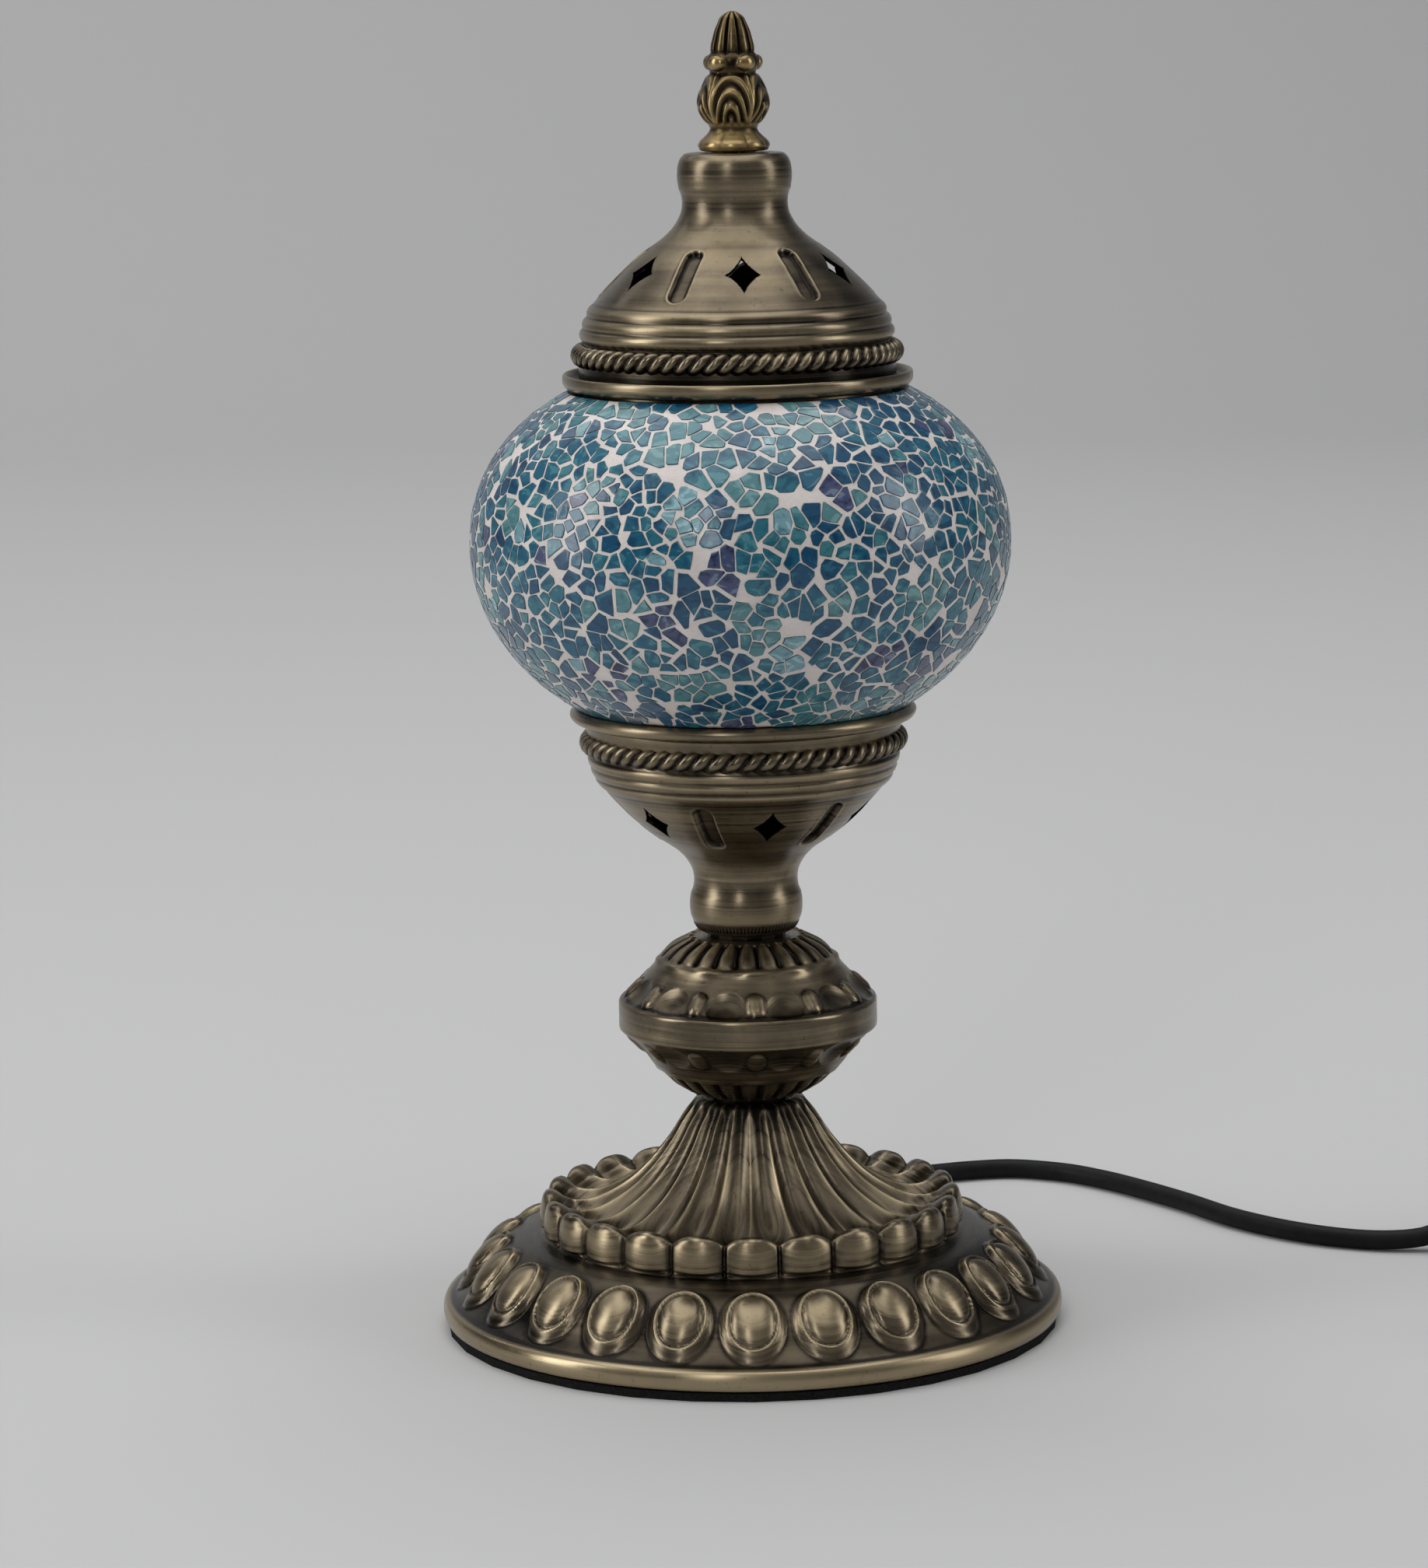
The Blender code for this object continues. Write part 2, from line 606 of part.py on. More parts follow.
def make_switch(maker):
    long = SWITCH_LENGTH / 2
    wide = SWITCH_WIDTH / 2
    place = Vector((*SWITCH_MIDDLE, 0.0))
    low = box_mesh("switch_base", (-long, -wide, 0.1), (long, wide, SWITCH_SPLIT))
    base = maker.piece("switch_base", low, "black_plastic")
    high = box_mesh("switch_cover", (-long, -wide, SWITCH_SPLIT + GAP), (long, wide, SWITCH_HEIGHT))
    cover = maker.piece("switch_cover", high, "black_plastic")
    hollow = maker.cutter(
        "switch_hollow", box_mesh("switch_hollow", (-24.0, -9.6, 2.2), (24.0, 9.6, SWITCH_HEIGHT - 2.0))
    )
    window = maker.cutter(
        "switch_window", box_mesh("switch_window", (-11.4, -5.6, SWITCH_SPLIT + 3.0), (11.4, 5.6, 24.0))
    )
    holes = maker.cutter("switch_holes", screw_holes())
    for half in (base, cover):
        half.location = place
        add_bevel(half, 1.2)
        cut(half, hollow)
        cut(half, holes)
    cut(cover, window)
    for cutter in (hollow, window, holes):
        cutter.location = place
    rocker = maker.piece("switch_rocker", rocker_mesh(), "black_plastic")
    rocker.location = place + Vector((0.0, 0.0, ROCKER_PIVOT * MM))
    rocker.rotation_euler = (0.0, math.radians(-ROCKER_TILT), 0.0)
    strip = box_mesh("switch_contacts", (-9.0, -3.0, 3.4), (9.0, 3.0, 4.6))
    contacts = maker.piece("switch_contacts", strip, "bright_brass")
    contacts.location = place
    add_bevel(contacts, 0.3)
    for number, (along, across) in enumerate(SCREW_PLACES, 1):
        screw = [(0.0, 13.4), (1.2, 13.4), (1.2, 2.3), (2.2, 1.9), (2.2, 1.0), (0.0, 1.0)]
        thing = turned(maker, f"switch_screw_{number}", screw, "steel", 12)
        thing.location = place + Vector((along * MM, across * MM, 0.0))


SCREW_PLACES = [(26.8, 8.0), (-26.8, -8.0)]


def screw_holes():
    """Stepped holes: a wide mouth for the head below, a narrow bore for the shank above."""
    profile = [(0.0, 14.0), (1.5, 14.0), (1.5, 2.6), (2.6, 2.6), (2.6, -1.0), (0.0, -1.0)]
    single = bpy.data.objects.new("screw_hole", profile_mesh("screw_hole", profile, False))
    bpy.context.scene.collection.objects.link(single)
    add_screw(single, 16)
    hole = freeze(single)
    bpy.data.objects.remove(single, do_unlink=True)
    mesh = bpy.data.meshes.new("switch_holes")
    form = bmesh.new()
    for along, across in SCREW_PLACES:
        copy = hole.copy()
        copy.transform(Matrix.Translation((along * MM, across * MM, 0.0)))
        form.from_mesh(copy)
    form.to_mesh(mesh)
    form.free()
    return mesh


def rocker_mesh():
    """The pressed key, with its axle pins at the pivot."""
    mesh = outline_mesh("switch_rocker", [rocker_outline()], 5.0)
    mesh.transform(Matrix.Rotation(math.pi / 2, 4, "X"))
    return mesh


def make_plug(maker):
    half = PLUG_WIDTH / 2
    outline = [
        (0.0, -5.0), (0.0, 5.0), (-9.0, 7.0), (-17.0, half - 1.0), (-21.0, half),
        (-PLUG_LENGTH, half - 2.0), (-PLUG_LENGTH, 2.0 - half), (-21.0, -half), (-17.0, 1.0 - half),
        (-9.0, -7.0),
    ]
    body = maker.piece("plug_body", outline_mesh("plug_body", [outline], PLUG_THICK / 2), "black_plastic")
    add_bevel(body, 1.8)
    body.location = (PLUG_REAR, PLUG_SIDE, (PLUG_THICK / 2 + 0.1) * MM)
    for number, side in enumerate((-9.3, 9.3), 1):
        pin = [(0.0, 19.0), (1.2, 19.0), (2.0, 17.8), (2.0, 0.0), (0.0, 0.0)]
        thing = turned(maker, f"plug_pin_{number}", pin, "nickel", 12)
        front = Vector((PLUG_REAR - (PLUG_LENGTH + GAP) * MM, PLUG_SIDE + side * MM, 0.0069))
        thing.matrix_world = Matrix.Translation(front) @ Matrix.Rotation(-math.pi / 2, 4, "Y")


# ---------------------------------------------------------------- finish

def shade(maker):
    for thing in maker.parts.objects:
        if thing.type == "MESH":
            thing.data.shade_smooth()
            thing.data.set_sharp_from_angle(angle=math.radians(35.0))


def main():
    clear_scene()
    maker = Maker()
    make_base(maker)
    make_stand(maker)
    make_lampholder(maker)
    make_bulb(maker)
    make_globe(maker)
    make_cap(maker)
    make_cords(maker)
    make_coil(maker)
    make_switch(maker)
    make_plug(maker)
    bpy.context.view_layer.update()
    shade(maker)


main()
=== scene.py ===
"""Looks of the mosaic glass table lamp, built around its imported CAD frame.

Outlines are (radius, height) pairs in millimetres that run down the outer side.  Everything else
is in metres.  The front is -Y and +X is to the right.
"""
import itertools
import math
import random

import bmesh
import bpy
import numpy as np
from mathutils import Matrix, Vector
from mathutils.kdtree import KDTree


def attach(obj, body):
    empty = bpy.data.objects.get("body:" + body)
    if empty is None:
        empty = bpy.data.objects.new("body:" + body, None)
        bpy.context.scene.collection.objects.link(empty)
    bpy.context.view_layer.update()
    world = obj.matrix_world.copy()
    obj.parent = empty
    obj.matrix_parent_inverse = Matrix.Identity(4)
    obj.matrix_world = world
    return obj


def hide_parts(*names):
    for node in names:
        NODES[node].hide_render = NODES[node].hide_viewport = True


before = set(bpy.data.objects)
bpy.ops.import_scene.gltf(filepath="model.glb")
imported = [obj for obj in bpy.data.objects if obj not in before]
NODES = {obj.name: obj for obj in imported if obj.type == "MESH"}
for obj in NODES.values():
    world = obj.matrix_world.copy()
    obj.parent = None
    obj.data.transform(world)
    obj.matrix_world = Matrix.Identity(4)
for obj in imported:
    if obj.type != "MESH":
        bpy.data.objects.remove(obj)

MM = 0.001
TAU = math.tau
FRONT = -math.pi / 2
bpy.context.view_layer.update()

# places shared with the frame, mm: the globe's section, and how often the brass repeats
GLOBE_RADIUS = 65.0
GLOBE_MIDDLE = 192.0
GLOBE_RISE = 45.3
GLOBE_DROP = 49.7
GLOBE_TOP = 229.0
GLOBE_FOOT = 153.0
FLUTES = 24
PIERCINGS = 6
CAP_STAR_TURN = math.radians(3.5)
CUP_STAR_TURN = math.radians(12.0)


# ---- camera

# where the photograph was taken from: metres, and a lens in mm on a full frame
CAMERA_BACK = 1.2088
CAMERA_HEIGHT = 0.3343
CAMERA_PITCH = math.radians(9.448)
CAMERA_YAW = math.radians(0.348)
CAMERA_ROLL = math.radians(-0.99)
CAMERA_LENS = 116.07
SENSOR_WIDTH = 36.0


def make_camera():
    data = bpy.data.cameras.new("camera")
    data.lens = CAMERA_LENS
    data.sensor_width = SENSOR_WIDTH
    data.sensor_fit = "AUTO"
    data.clip_start = 0.05
    data.clip_end = 30.0
    camera = bpy.data.objects.new("camera", data)
    bpy.context.scene.collection.objects.link(camera)
    aim = Matrix.Rotation(CAMERA_YAW, 4, "Z") @ Matrix.Rotation(math.pi / 2 - CAMERA_PITCH, 4, "X")
    roll = Matrix.Rotation(CAMERA_ROLL, 4, "Z")
    camera.matrix_world = Matrix.Translation((0.0, -CAMERA_BACK, CAMERA_HEIGHT)) @ aim @ roll
    bpy.context.scene.camera = camera


# ---- materials

class Look:
    """A material's node tree, with short calls for the nodes that the looks share."""

    def __init__(self, name):
        self.material = bpy.data.materials.new(name)
        self.material.use_nodes = True
        self.tree = self.material.node_tree
        self.shader = self.tree.nodes["Principled BSDF"]

    def node(self, kind, inputs=(), **settings):
        """A new node, its settings first and then its inputs: pairs of socket and value."""
        made = self.tree.nodes.new(kind)
        for key, value in settings.items():
            setattr(made, key, value)
        for key, value in dict(inputs).items():
            self.put(value, made.inputs[key])
        return made

    def link(self, source, target):
        self.tree.links.new(source, target)

    def put(self, value, socket):
        """Sets a socket's value, or links it when the value is another node's output."""
        if isinstance(value, bpy.types.NodeSocket):
            self.link(value, socket)
        else:
            socket.default_value = value

    def math(self, operation, first, second=0.0):
        return self.node("ShaderNodeMath", {0: first, 1: second}, operation=operation).outputs[0]

    def place(self, scale=(1.0, 1.0, 1.0)):
        coords = self.node("ShaderNodeTexCoord").outputs["Object"]
        return self.node("ShaderNodeMapping", {"Vector": coords, "Scale": scale}).outputs["Vector"]

    def noise(self, scale, detail=3.0, rough=0.5, distortion=0.0, vector=None):
        inputs = {
            "Vector": vector or self.place(), "Scale": scale, "Detail": detail, "Roughness": rough,
            "Distortion": distortion,
        }
        return self.node("ShaderNodeTexNoise", inputs).outputs["Fac"]

    def ramp(self, value, stops):
        made = self.node("ShaderNodeValToRGB", {"Fac": value})
        elements = made.color_ramp.elements
        while len(elements) < len(stops):
            elements.new(0.5)
        for element, (position, colour) in zip(elements, stops):
            element.position = position
            element.color = (*colour, 1.0)
        return made.outputs["Color"]

    def stretch(self, value, low, high, from_low=0.0, from_high=1.0):
        """A value that runs between two limits, moved to run from low to high."""
        inputs = {
            "Value": value, "From Min": from_low, "From Max": from_high, "To Min": low, "To Max": high,
        }
        return self.node("ShaderNodeMapRange", inputs).outputs["Result"]

    def mix(self, amount, first, second, blend="MIX"):
        inputs = {"Factor": amount, "A": first, "B": second}
        made = self.node("ShaderNodeMix", inputs, data_type="RGBA", blend_type=blend)
        return made.outputs["Result"]

    def bump(self, height, strength, distance):
        inputs = {"Strength": strength, "Distance": distance, "Height": height}
        self.put(self.node("ShaderNodeBump", inputs).outputs["Normal"], self.shader.inputs["Normal"])

    def set(self, **values):
        for key, value in values.items():
            self.put(value, self.shader.inputs[key.replace("_", " ")])

    def around(self, fineness):
        """Coordinates that vary quickly up and out, and slowly round the lamp's axis."""
        coords = self.node("ShaderNodeTexCoord").outputs["Object"]
        x, y, z = self.node("ShaderNodeSeparateXYZ", {0: coords}).outputs
        squares = self.math("ADD", self.math("MULTIPLY", x, x), self.math("MULTIPLY", y, y))
        climb = self.math("ADD", z, self.math("MULTIPLY", self.math("SQRT", squares), 0.7))
        stretched = {
            0: self.math("MULTIPLY", x, 9.0), 1: self.math("MULTIPLY", y, 9.0),
            2: self.math("MULTIPLY", climb, fineness),
        }
        return self.node("ShaderNodeCombineXYZ", stretched).outputs[0]


def brass_look(name, recess, mid, crown, rough=0.30, brushed=1.0):
    """Antiqued brass: dark in recesses, rubbed back to brass on crowns, brushed round the axis. The
    attribute that sets dark and bright also holds painted shade and painted highlights.
    """
    look = Look(name)
    # This attribute holds patina and rubbed wear, and in some places painted shade and painted
    # highlights.
    wear_and_painted_light = look.node("ShaderNodeAttribute", attribute_name="wear_and_painted_light").outputs["Fac"]
    cloud = look.noise(55.0, 4.0, 0.6)
    brush = look.noise(1.0, 3.0, 0.7, vector=look.around(1000.0))
    bands = look.noise(1.0, 2.0, 0.5, vector=look.around(240.0))
    wear_and_light_level = look.math("ADD", wear_and_painted_light, look.stretch(cloud, -0.15, 0.15, 0.3, 0.7))
    wear_and_light_level = look.math("ADD", wear_and_light_level, look.stretch(brush, -0.15 * brushed, 0.15 * brushed, 0.3, 0.7))
    wear_and_light_level = look.math("ADD", wear_and_light_level, look.stretch(bands, -0.12 * brushed, 0.12 * brushed, 0.3, 0.7))
    colour = look.ramp(wear_and_light_level, [(0.05, recess), (0.5, mid), (0.98, crown)])
    specks = look.noise(900.0, 2.0, 0.5)
    pits = look.ramp(specks, [(0.25, (0.35, 0.32, 0.28)), (0.36, (1.0, 1.0, 1.0))])
    colour = look.mix(0.5, colour, pits, "MULTIPLY")
    roughness = look.stretch(brush, rough - 0.08, rough + 0.10, 0.3, 0.7)
    roughness = look.math("ADD", roughness, look.stretch(cloud, -0.04, 0.06, 0.3, 0.7))
    tangent = look.node("ShaderNodeTangent", direction_type="RADIAL", axis="Z").outputs[0]
    look.set(Base_Color=colour, Metallic=1.0, Roughness=roughness)
    look.set(Anisotropic=0.6, Anisotropic_Rotation=0.25, Tangent=tangent)
    lines = look.math("MULTIPLY", brush, 0.9 * brushed)
    look.bump(look.math("ADD", lines, look.math("MULTIPLY", cloud, 0.6)), 0.30, 0.00025)
    return look.material


def metal_look(name, colour, rough):
    look = Look(name)
    grain = look.noise(320.0, 3.0)
    dull = tuple(part * 0.8 for part in colour)
    look.set(Base_Color=look.ramp(grain, [(0.3, dull), (0.7, colour)]), Metallic=1.0)
    look.set(Roughness=look.stretch(grain, rough - 0.06, rough + 0.08))
    look.bump(grain, 0.12, 0.0001)
    return look.material


def moulded_look(name, colour, rough, grain_size=900.0):
    look = Look(name)
    grain = look.noise(grain_size, 2.0)
    scuff = look.noise(60.0, 4.0)
    light = tuple(min(1.0, part * 1.5 + 0.004) for part in colour)
    look.set(Base_Color=look.ramp(scuff, [(0.35, colour), (0.75, light)]))
    look.set(Roughness=look.stretch(scuff, rough - 0.06, rough + 0.1))
    look.bump(grain, 0.12, 0.0001)
    return look.material


def foam_look():
    look = Look("black_foam_look")
    cells = look.node("ShaderNodeTexVoronoi", {"Vector": look.place(), "Scale": 1400.0})
    cells = cells.outputs["Distance"]
    tone = look.ramp(cells, [(0.1, (0.004, 0.004, 0.005)), (0.8, (0.012, 0.012, 0.013))])
    look.set(Base_Color=tone, Roughness=0.9, Specular_IOR_Level=0.15)
    look.bump(cells, 0.5, 0.0003)
    return look.material


def iron_look():
    look = Look("cast_iron_look")
    skin = look.noise(240.0, 5.0, 0.65)
    rust = look.noise(45.0, 4.0)
    tone = look.ramp(skin, [(0.3, (0.04, 0.04, 0.042)), (0.7, (0.11, 0.108, 0.105))])
    rusty = look.ramp(rust, [(0.6, (0, 0, 0)), (0.75, (0.5, 0.5, 0.5))])
    tone = look.mix(rusty, tone, (0.16, 0.07, 0.035, 1.0))
    look.set(Base_Color=tone, Metallic=0.6, Roughness=look.stretch(skin, 0.5, 0.8))
    look.bump(skin, 0.5, 0.0005)
    return look.material


def glass_look(name, colour, rough, cover):
    """Thin clear glass that lets light straight through: cover is the share that it keeps back."""
    look = Look(name)
    waves = look.noise(70.0, 2.0)
    tint = tuple(part * 0.85 for part in colour)
    look.set(Base_Color=look.ramp(waves, [(0.3, tint), (0.7, colour)]), Roughness=rough)
    look.set(IOR=1.5, Alpha=cover)
    look.bump(waves, 0.05, 0.0004)
    return look.material


def chip_look(name, deep, pale, streak):
    """Coated stained glass: cloudy swirls with crisp borders under a clear layer."""
    look = Look(name)
    swirl = look.noise(170.0, 4.0, 0.5, 1.4, look.place((1.0, 1.0, 1.6)))
    fine = look.noise(520.0, 3.0, 0.6)
    blend = look.math("ADD", swirl, look.stretch(fine, -0.07, 0.07))
    stops = [(0.36, deep), (0.47, pale), (0.56, pale), (0.61, streak)]
    look.set(Base_Color=look.ramp(blend, stops), Roughness=0.22, IOR=1.5)
    look.set(Coat_Weight=0.2, Coat_Roughness=0.08)
    look.bump(fine, 0.15, 0.0002)
    return look.material


def chip_edge_look():
    look = Look("chip_edge_look")
    grain = look.noise(700.0, 2.0)
    look.set(Base_Color=look.ramp(grain, [(0.3, (0.006, 0.035, 0.060)), (0.7, (0.03, 0.11, 0.14))]))
    look.set(Roughness=0.3, IOR=1.5)
    return look.material


def grout_look():
    look = Look("grout_look")
    sand = look.noise(1500.0, 3.0, 0.6)
    stain = look.noise(90.0, 4.0, 0.55)
    tone = look.ramp(stain, [(0.3, (0.66, 0.60, 0.57)), (0.7, (0.80, 0.75, 0.72))])
    grains = look.ramp(sand, [(0.3, (0.6, 0.56, 0.53)), (0.6, (0.9, 0.87, 0.85))])
    tone = look.mix(0.25, tone, grains, "MULTIPLY")
    look.set(Base_Color=tone, Roughness=0.5, Coat_Weight=0.35, Coat_Roughness=0.15)
    look.bump(look.math("ADD", sand, look.math("MULTIPLY", stain, 2.0)), 0.35, 0.0003)
    return look.material


def cord_look():
    look = Look("black_cord_look")
    sheen = look.noise(260.0, 3.0)
    look.set(Base_Color=look.ramp(sheen, [(0.3, (0.004, 0.004, 0.005)), (0.7, (0.009, 0.009, 0.010))]))
    look.set(Roughness=look.stretch(sheen, 0.40, 0.56), Specular_IOR_Level=0.15)
    look.bump(sheen, 0.1, 0.0001)
    return look.material


def make_looks():
    """A look for each material slot of the frame, but for the mosaic's own."""
    return {
        "antique_brass": brass_look(
            "antique_brass_look", (0.018, 0.015, 0.012), (0.135, 0.110, 0.076), (0.36, 0.292, 0.185)
        ),
        "golden_brass": brass_look(
            "golden_brass_look", (0.012, 0.009, 0.006), (0.105, 0.076, 0.038), (0.42, 0.31, 0.145),
            rough=0.32, brushed=0.25,
        ),
        "bright_brass": metal_look("bright_brass_look", (0.80, 0.62, 0.30), 0.28),
        "steel": metal_look("steel_look", (0.56, 0.57, 0.58), 0.32),
        "nickel": metal_look("nickel_look", (0.72, 0.71, 0.68), 0.22),
        "tungsten": metal_look("tungsten_look", (0.35, 0.34, 0.33), 0.38),
        "cast_iron": iron_look(),
        "black_foam": foam_look(),
        "black_plastic": moulded_look("black_plastic_look", (0.016, 0.016, 0.018), 0.40),
        "phenolic": moulded_look("phenolic_look", (0.035, 0.022, 0.016), 0.32, 500.0),
        "black_cord": cord_look(),
        "globe_glass": glass_look("globe_glass_look", (0.55, 0.70, 0.72), 0.06, 0.25),
        "bulb_glass": glass_look("bulb_glass_look", (0.75, 0.78, 0.80), 0.03, 0.30),
        "grout": grout_look(),
    }


CHIP_LOOKS = [
    # name, deep, pale, streak, share
    ("chip_petrol", (0.002, 0.039, 0.098), (0.005, 0.067, 0.144), (0.021, 0.130, 0.205), 0.30),
    ("chip_teal", (0.003, 0.054, 0.115), (0.009, 0.103, 0.176), (0.045, 0.187, 0.241), 0.26),
    ("chip_lagoon", (0.005, 0.074, 0.134), (0.019, 0.140, 0.195), (0.070, 0.233, 0.271), 0.17),
    ("chip_aqua", (0.014, 0.112, 0.164), (0.051, 0.196, 0.230), (0.115, 0.289, 0.312), 0.12),
    ("chip_sea_grey", (0.038, 0.140, 0.169), (0.083, 0.224, 0.246), (0.160, 0.326, 0.344), 0.085),
    ("chip_opal", (0.064, 0.177, 0.220), (0.173, 0.336, 0.384), (0.307, 0.503, 0.564), 0.025),
    ("chip_violet", (0.014, 0.019, 0.076), (0.054, 0.070, 0.154), (0.141, 0.187, 0.288), 0.04),
]


# ---- mesh helpers

def curve_through(points, step):
    """Evenly spaced points on a smooth curve through these; two points give a straight line."""
    line = np.array(points, float)
    if len(line) > 2:
        ends = np.vstack([2 * line[0] - line[1], line, 2 * line[-1] - line[-2]])
        part = np.linspace(0.0, 1.0, 16, endpoint=False)[:, None]
        runs = []
        for a, b, c, d in zip(ends, ends[1:], ends[2:], ends[3:]):
            bend = (2 * a - 5 * b + 4 * c - d) * part ** 2
            twist = (3 * b - a - 3 * c + d) * part ** 3
            runs.append(0.5 * (2 * b + (c - a) * part + bend + twist))
        line = np.vstack(runs + [line[-1:]])
    walked = np.concatenate([[0.0], np.cumsum(np.linalg.norm(np.diff(line, axis=0), axis=1))])
    count = max(2, int(round(walked[-1] / step)) + 1)
    even = np.linspace(0.0, walked[-1], count)
    return np.column_stack([np.interp(even, walked, line[:, k]) for k in range(line.shape[1])])


def add_piece(name, mesh, body, look, replaced=()):
    piece = bpy.data.objects.new(name, mesh)
    bpy.context.scene.collection.objects.link(piece)
    for material in look if isinstance(look, list) else [look]:
        mesh.materials.append(material)
    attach(piece, body)
    if replaced:
        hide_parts(*replaced)
    return piece


def add_skin(mesh, body, looks, node, slot="antique_brass"):
    """A piece under its mesh's name that stands in for one CAD node."""
    add_piece(mesh.name, mesh, body, looks[slot], [node])


def mesh_from(name, verts, faces, wear_and_painted_light=None, smooth=True):
    mesh = bpy.data.meshes.new(name)
    mesh.from_pydata(verts, [], faces)
    if wear_and_painted_light is not None:
        mesh.attributes.new("wear_and_painted_light", "FLOAT", "POINT").data.foreach_set("value", wear_and_painted_light)
    mesh.polygons.foreach_set("use_smooth", [smooth] * len(mesh.polygons))
    mesh.update()
    return mesh


class Grid:
    """The surface that an outline sweeps: each value is an array of rows by columns, mm.

    Each stretch of the outline goes on from the last point of the one before, with a corner there.
    """

    def __init__(self, stretches, columns, step):
        outline = curve_through(stretches[0], step)
        for before, stretch in zip(stretches, stretches[1:]):
            outline = np.vstack([outline, curve_through([before[-1], *stretch], step)[1:]])
        way = np.gradient(outline, axis=0)
        way /= np.linalg.norm(way, axis=1)[:, None]
        walked = np.concatenate([[0.0], np.cumsum(np.linalg.norm(np.diff(outline, axis=0), axis=1))])
        self.turn = np.arange(columns)[None, :] * TAU / columns
        flat = np.zeros_like(self.turn)
        self.radius = outline[:, :1] + flat
        self.height = outline[:, 1:] + flat
        self.run = walked[:, None] + flat
        self.out_radius = -way[:, 1:] + flat
        self.out_height = way[:, :1] + flat

    def run_at(self, height, radius=None):
        """How far along the outline this height is, or the point nearest to a radius and height."""
        gap = np.abs(self.height[:, 0] - height)
        if radius is not None:
            gap = np.hypot(gap, self.radius[:, 0] - radius)
        return self.run[int(np.argmin(gap)), 0]

    def cell(self, count, first=0.0):
        """Position across each of count equal sectors, -0.5 to 0.5, 0 at a sector's middle."""
        share = (self.turn - first) * count / TAU
        return share - np.round(share)

    def side(self, count, first=0.0):
        """Distance from the nearest of count evenly spaced lines, mm, with its sign."""
        return self.cell(count, first) * TAU / count * self.radius


def turned(name, turn, radius, height, wear_and_painted_light, tip=False):
    """A mesh round the axis from rows of radius and height, mm, closed at its first row by a tip."""
    angle = turn + FRONT
    place = np.stack([radius * np.cos(angle), radius * np.sin(angle), height], axis=-1) * MM
    rows, columns = radius.shape
    first = np.arange(rows - 1)[:, None] * columns
    left = np.arange(columns)[None, :]
    right = (left + 1) % columns
    corners = (first + left, first + columns + left, first + columns + right, first + right)
    faces = np.stack(corners, axis=-1).reshape(-1, 4).tolist()
    if tip:
        faces.append(list(range(columns)))
    return mesh_from(name, place.reshape(-1, 3).tolist(), faces, np.clip(wear_and_painted_light, 0.0, 1.0).ravel())


def lathe(name, grid, raised=0.0, wear_and_painted_light=0.5, tip=False):
    """The grid's surface, raised along its own normals."""
    radius = grid.radius + grid.out_radius * raised
    height = grid.height + grid.out_height * raised
    return turned(name, grid.turn, radius, height, wear_and_painted_light + np.zeros_like(radius), tip)


def joined(name, meshes):
    """One mesh from several, keeping each one's wear, painted shade and painted highlights."""
    form = bmesh.new()
    for mesh in meshes:
        form.from_mesh(mesh)
    whole = bpy.data.meshes.new(name)
    form.to_mesh(whole)
    form.free()
    return whole


def step_up(value, low, high):
    """0 below low, 1 above high, smooth between."""
    part = np.clip((value - low) / (high - low), 0.0, 1.0)
    return part * part * (3.0 - 2.0 * part)


def bell(value, width):
    """1 at zero, falling away on both sides within about the width."""
    return np.exp(-(value / width) ** 2)


# ---- base

CONE = [
    (11.6, 56.0), (13.2, 55.2), (14.6, 53.2), (16.6, 50.4), (18.6, 47.0), (21.2, 43.2), (24.5, 39.2),
    (28.4, 35.4), (33.0, 32.2), (38.0, 29.8), (42.6, 29.0), (46.4, 29.9),
]
COLLAR = [(48.4, 31.2), (49.7, 31.6), (50.6, 30.3), (51.1, 27.8), (51.1, 25.6), (50.6, 23.9)]
GROUND = [
    (51.5, 22.9), (54.4, 22.5), (58.0, 21.5), (62.4, 18.7), (66.0, 14.9), (69.2, 11.0), (72.2, 8.5),
    (74.3, 7.5),
]
BASE_BEAD = [(75.4, 7.0), (76.0, 5.6), (76.0, 4.0), (75.4, 2.6), (74.2, 2.5)]
BASE_TOP = [(5.3, 55.6), (11.6, 56.0)]
COLLAR_CREST = (31.6, 49.7)        # height and radius, as for every place named on an outline
COLLAR_FOOT = (23.9, 50.6)
OVAL_MIDDLE = (15.9, 65.1)
BEAD_START = (7.5, 74.3)
OVAL_HALF_WIDTH = 5.8
OVAL_HALF_HEIGHT = 7.5
SKIRT_HALF_WIDTH = 7.8
SKIRT_HALF_HEIGHT = 9.7
SKIRT_DROP = 1.15
RIM_HEIGHT = 1.35
DOME_HEIGHT = 2.1


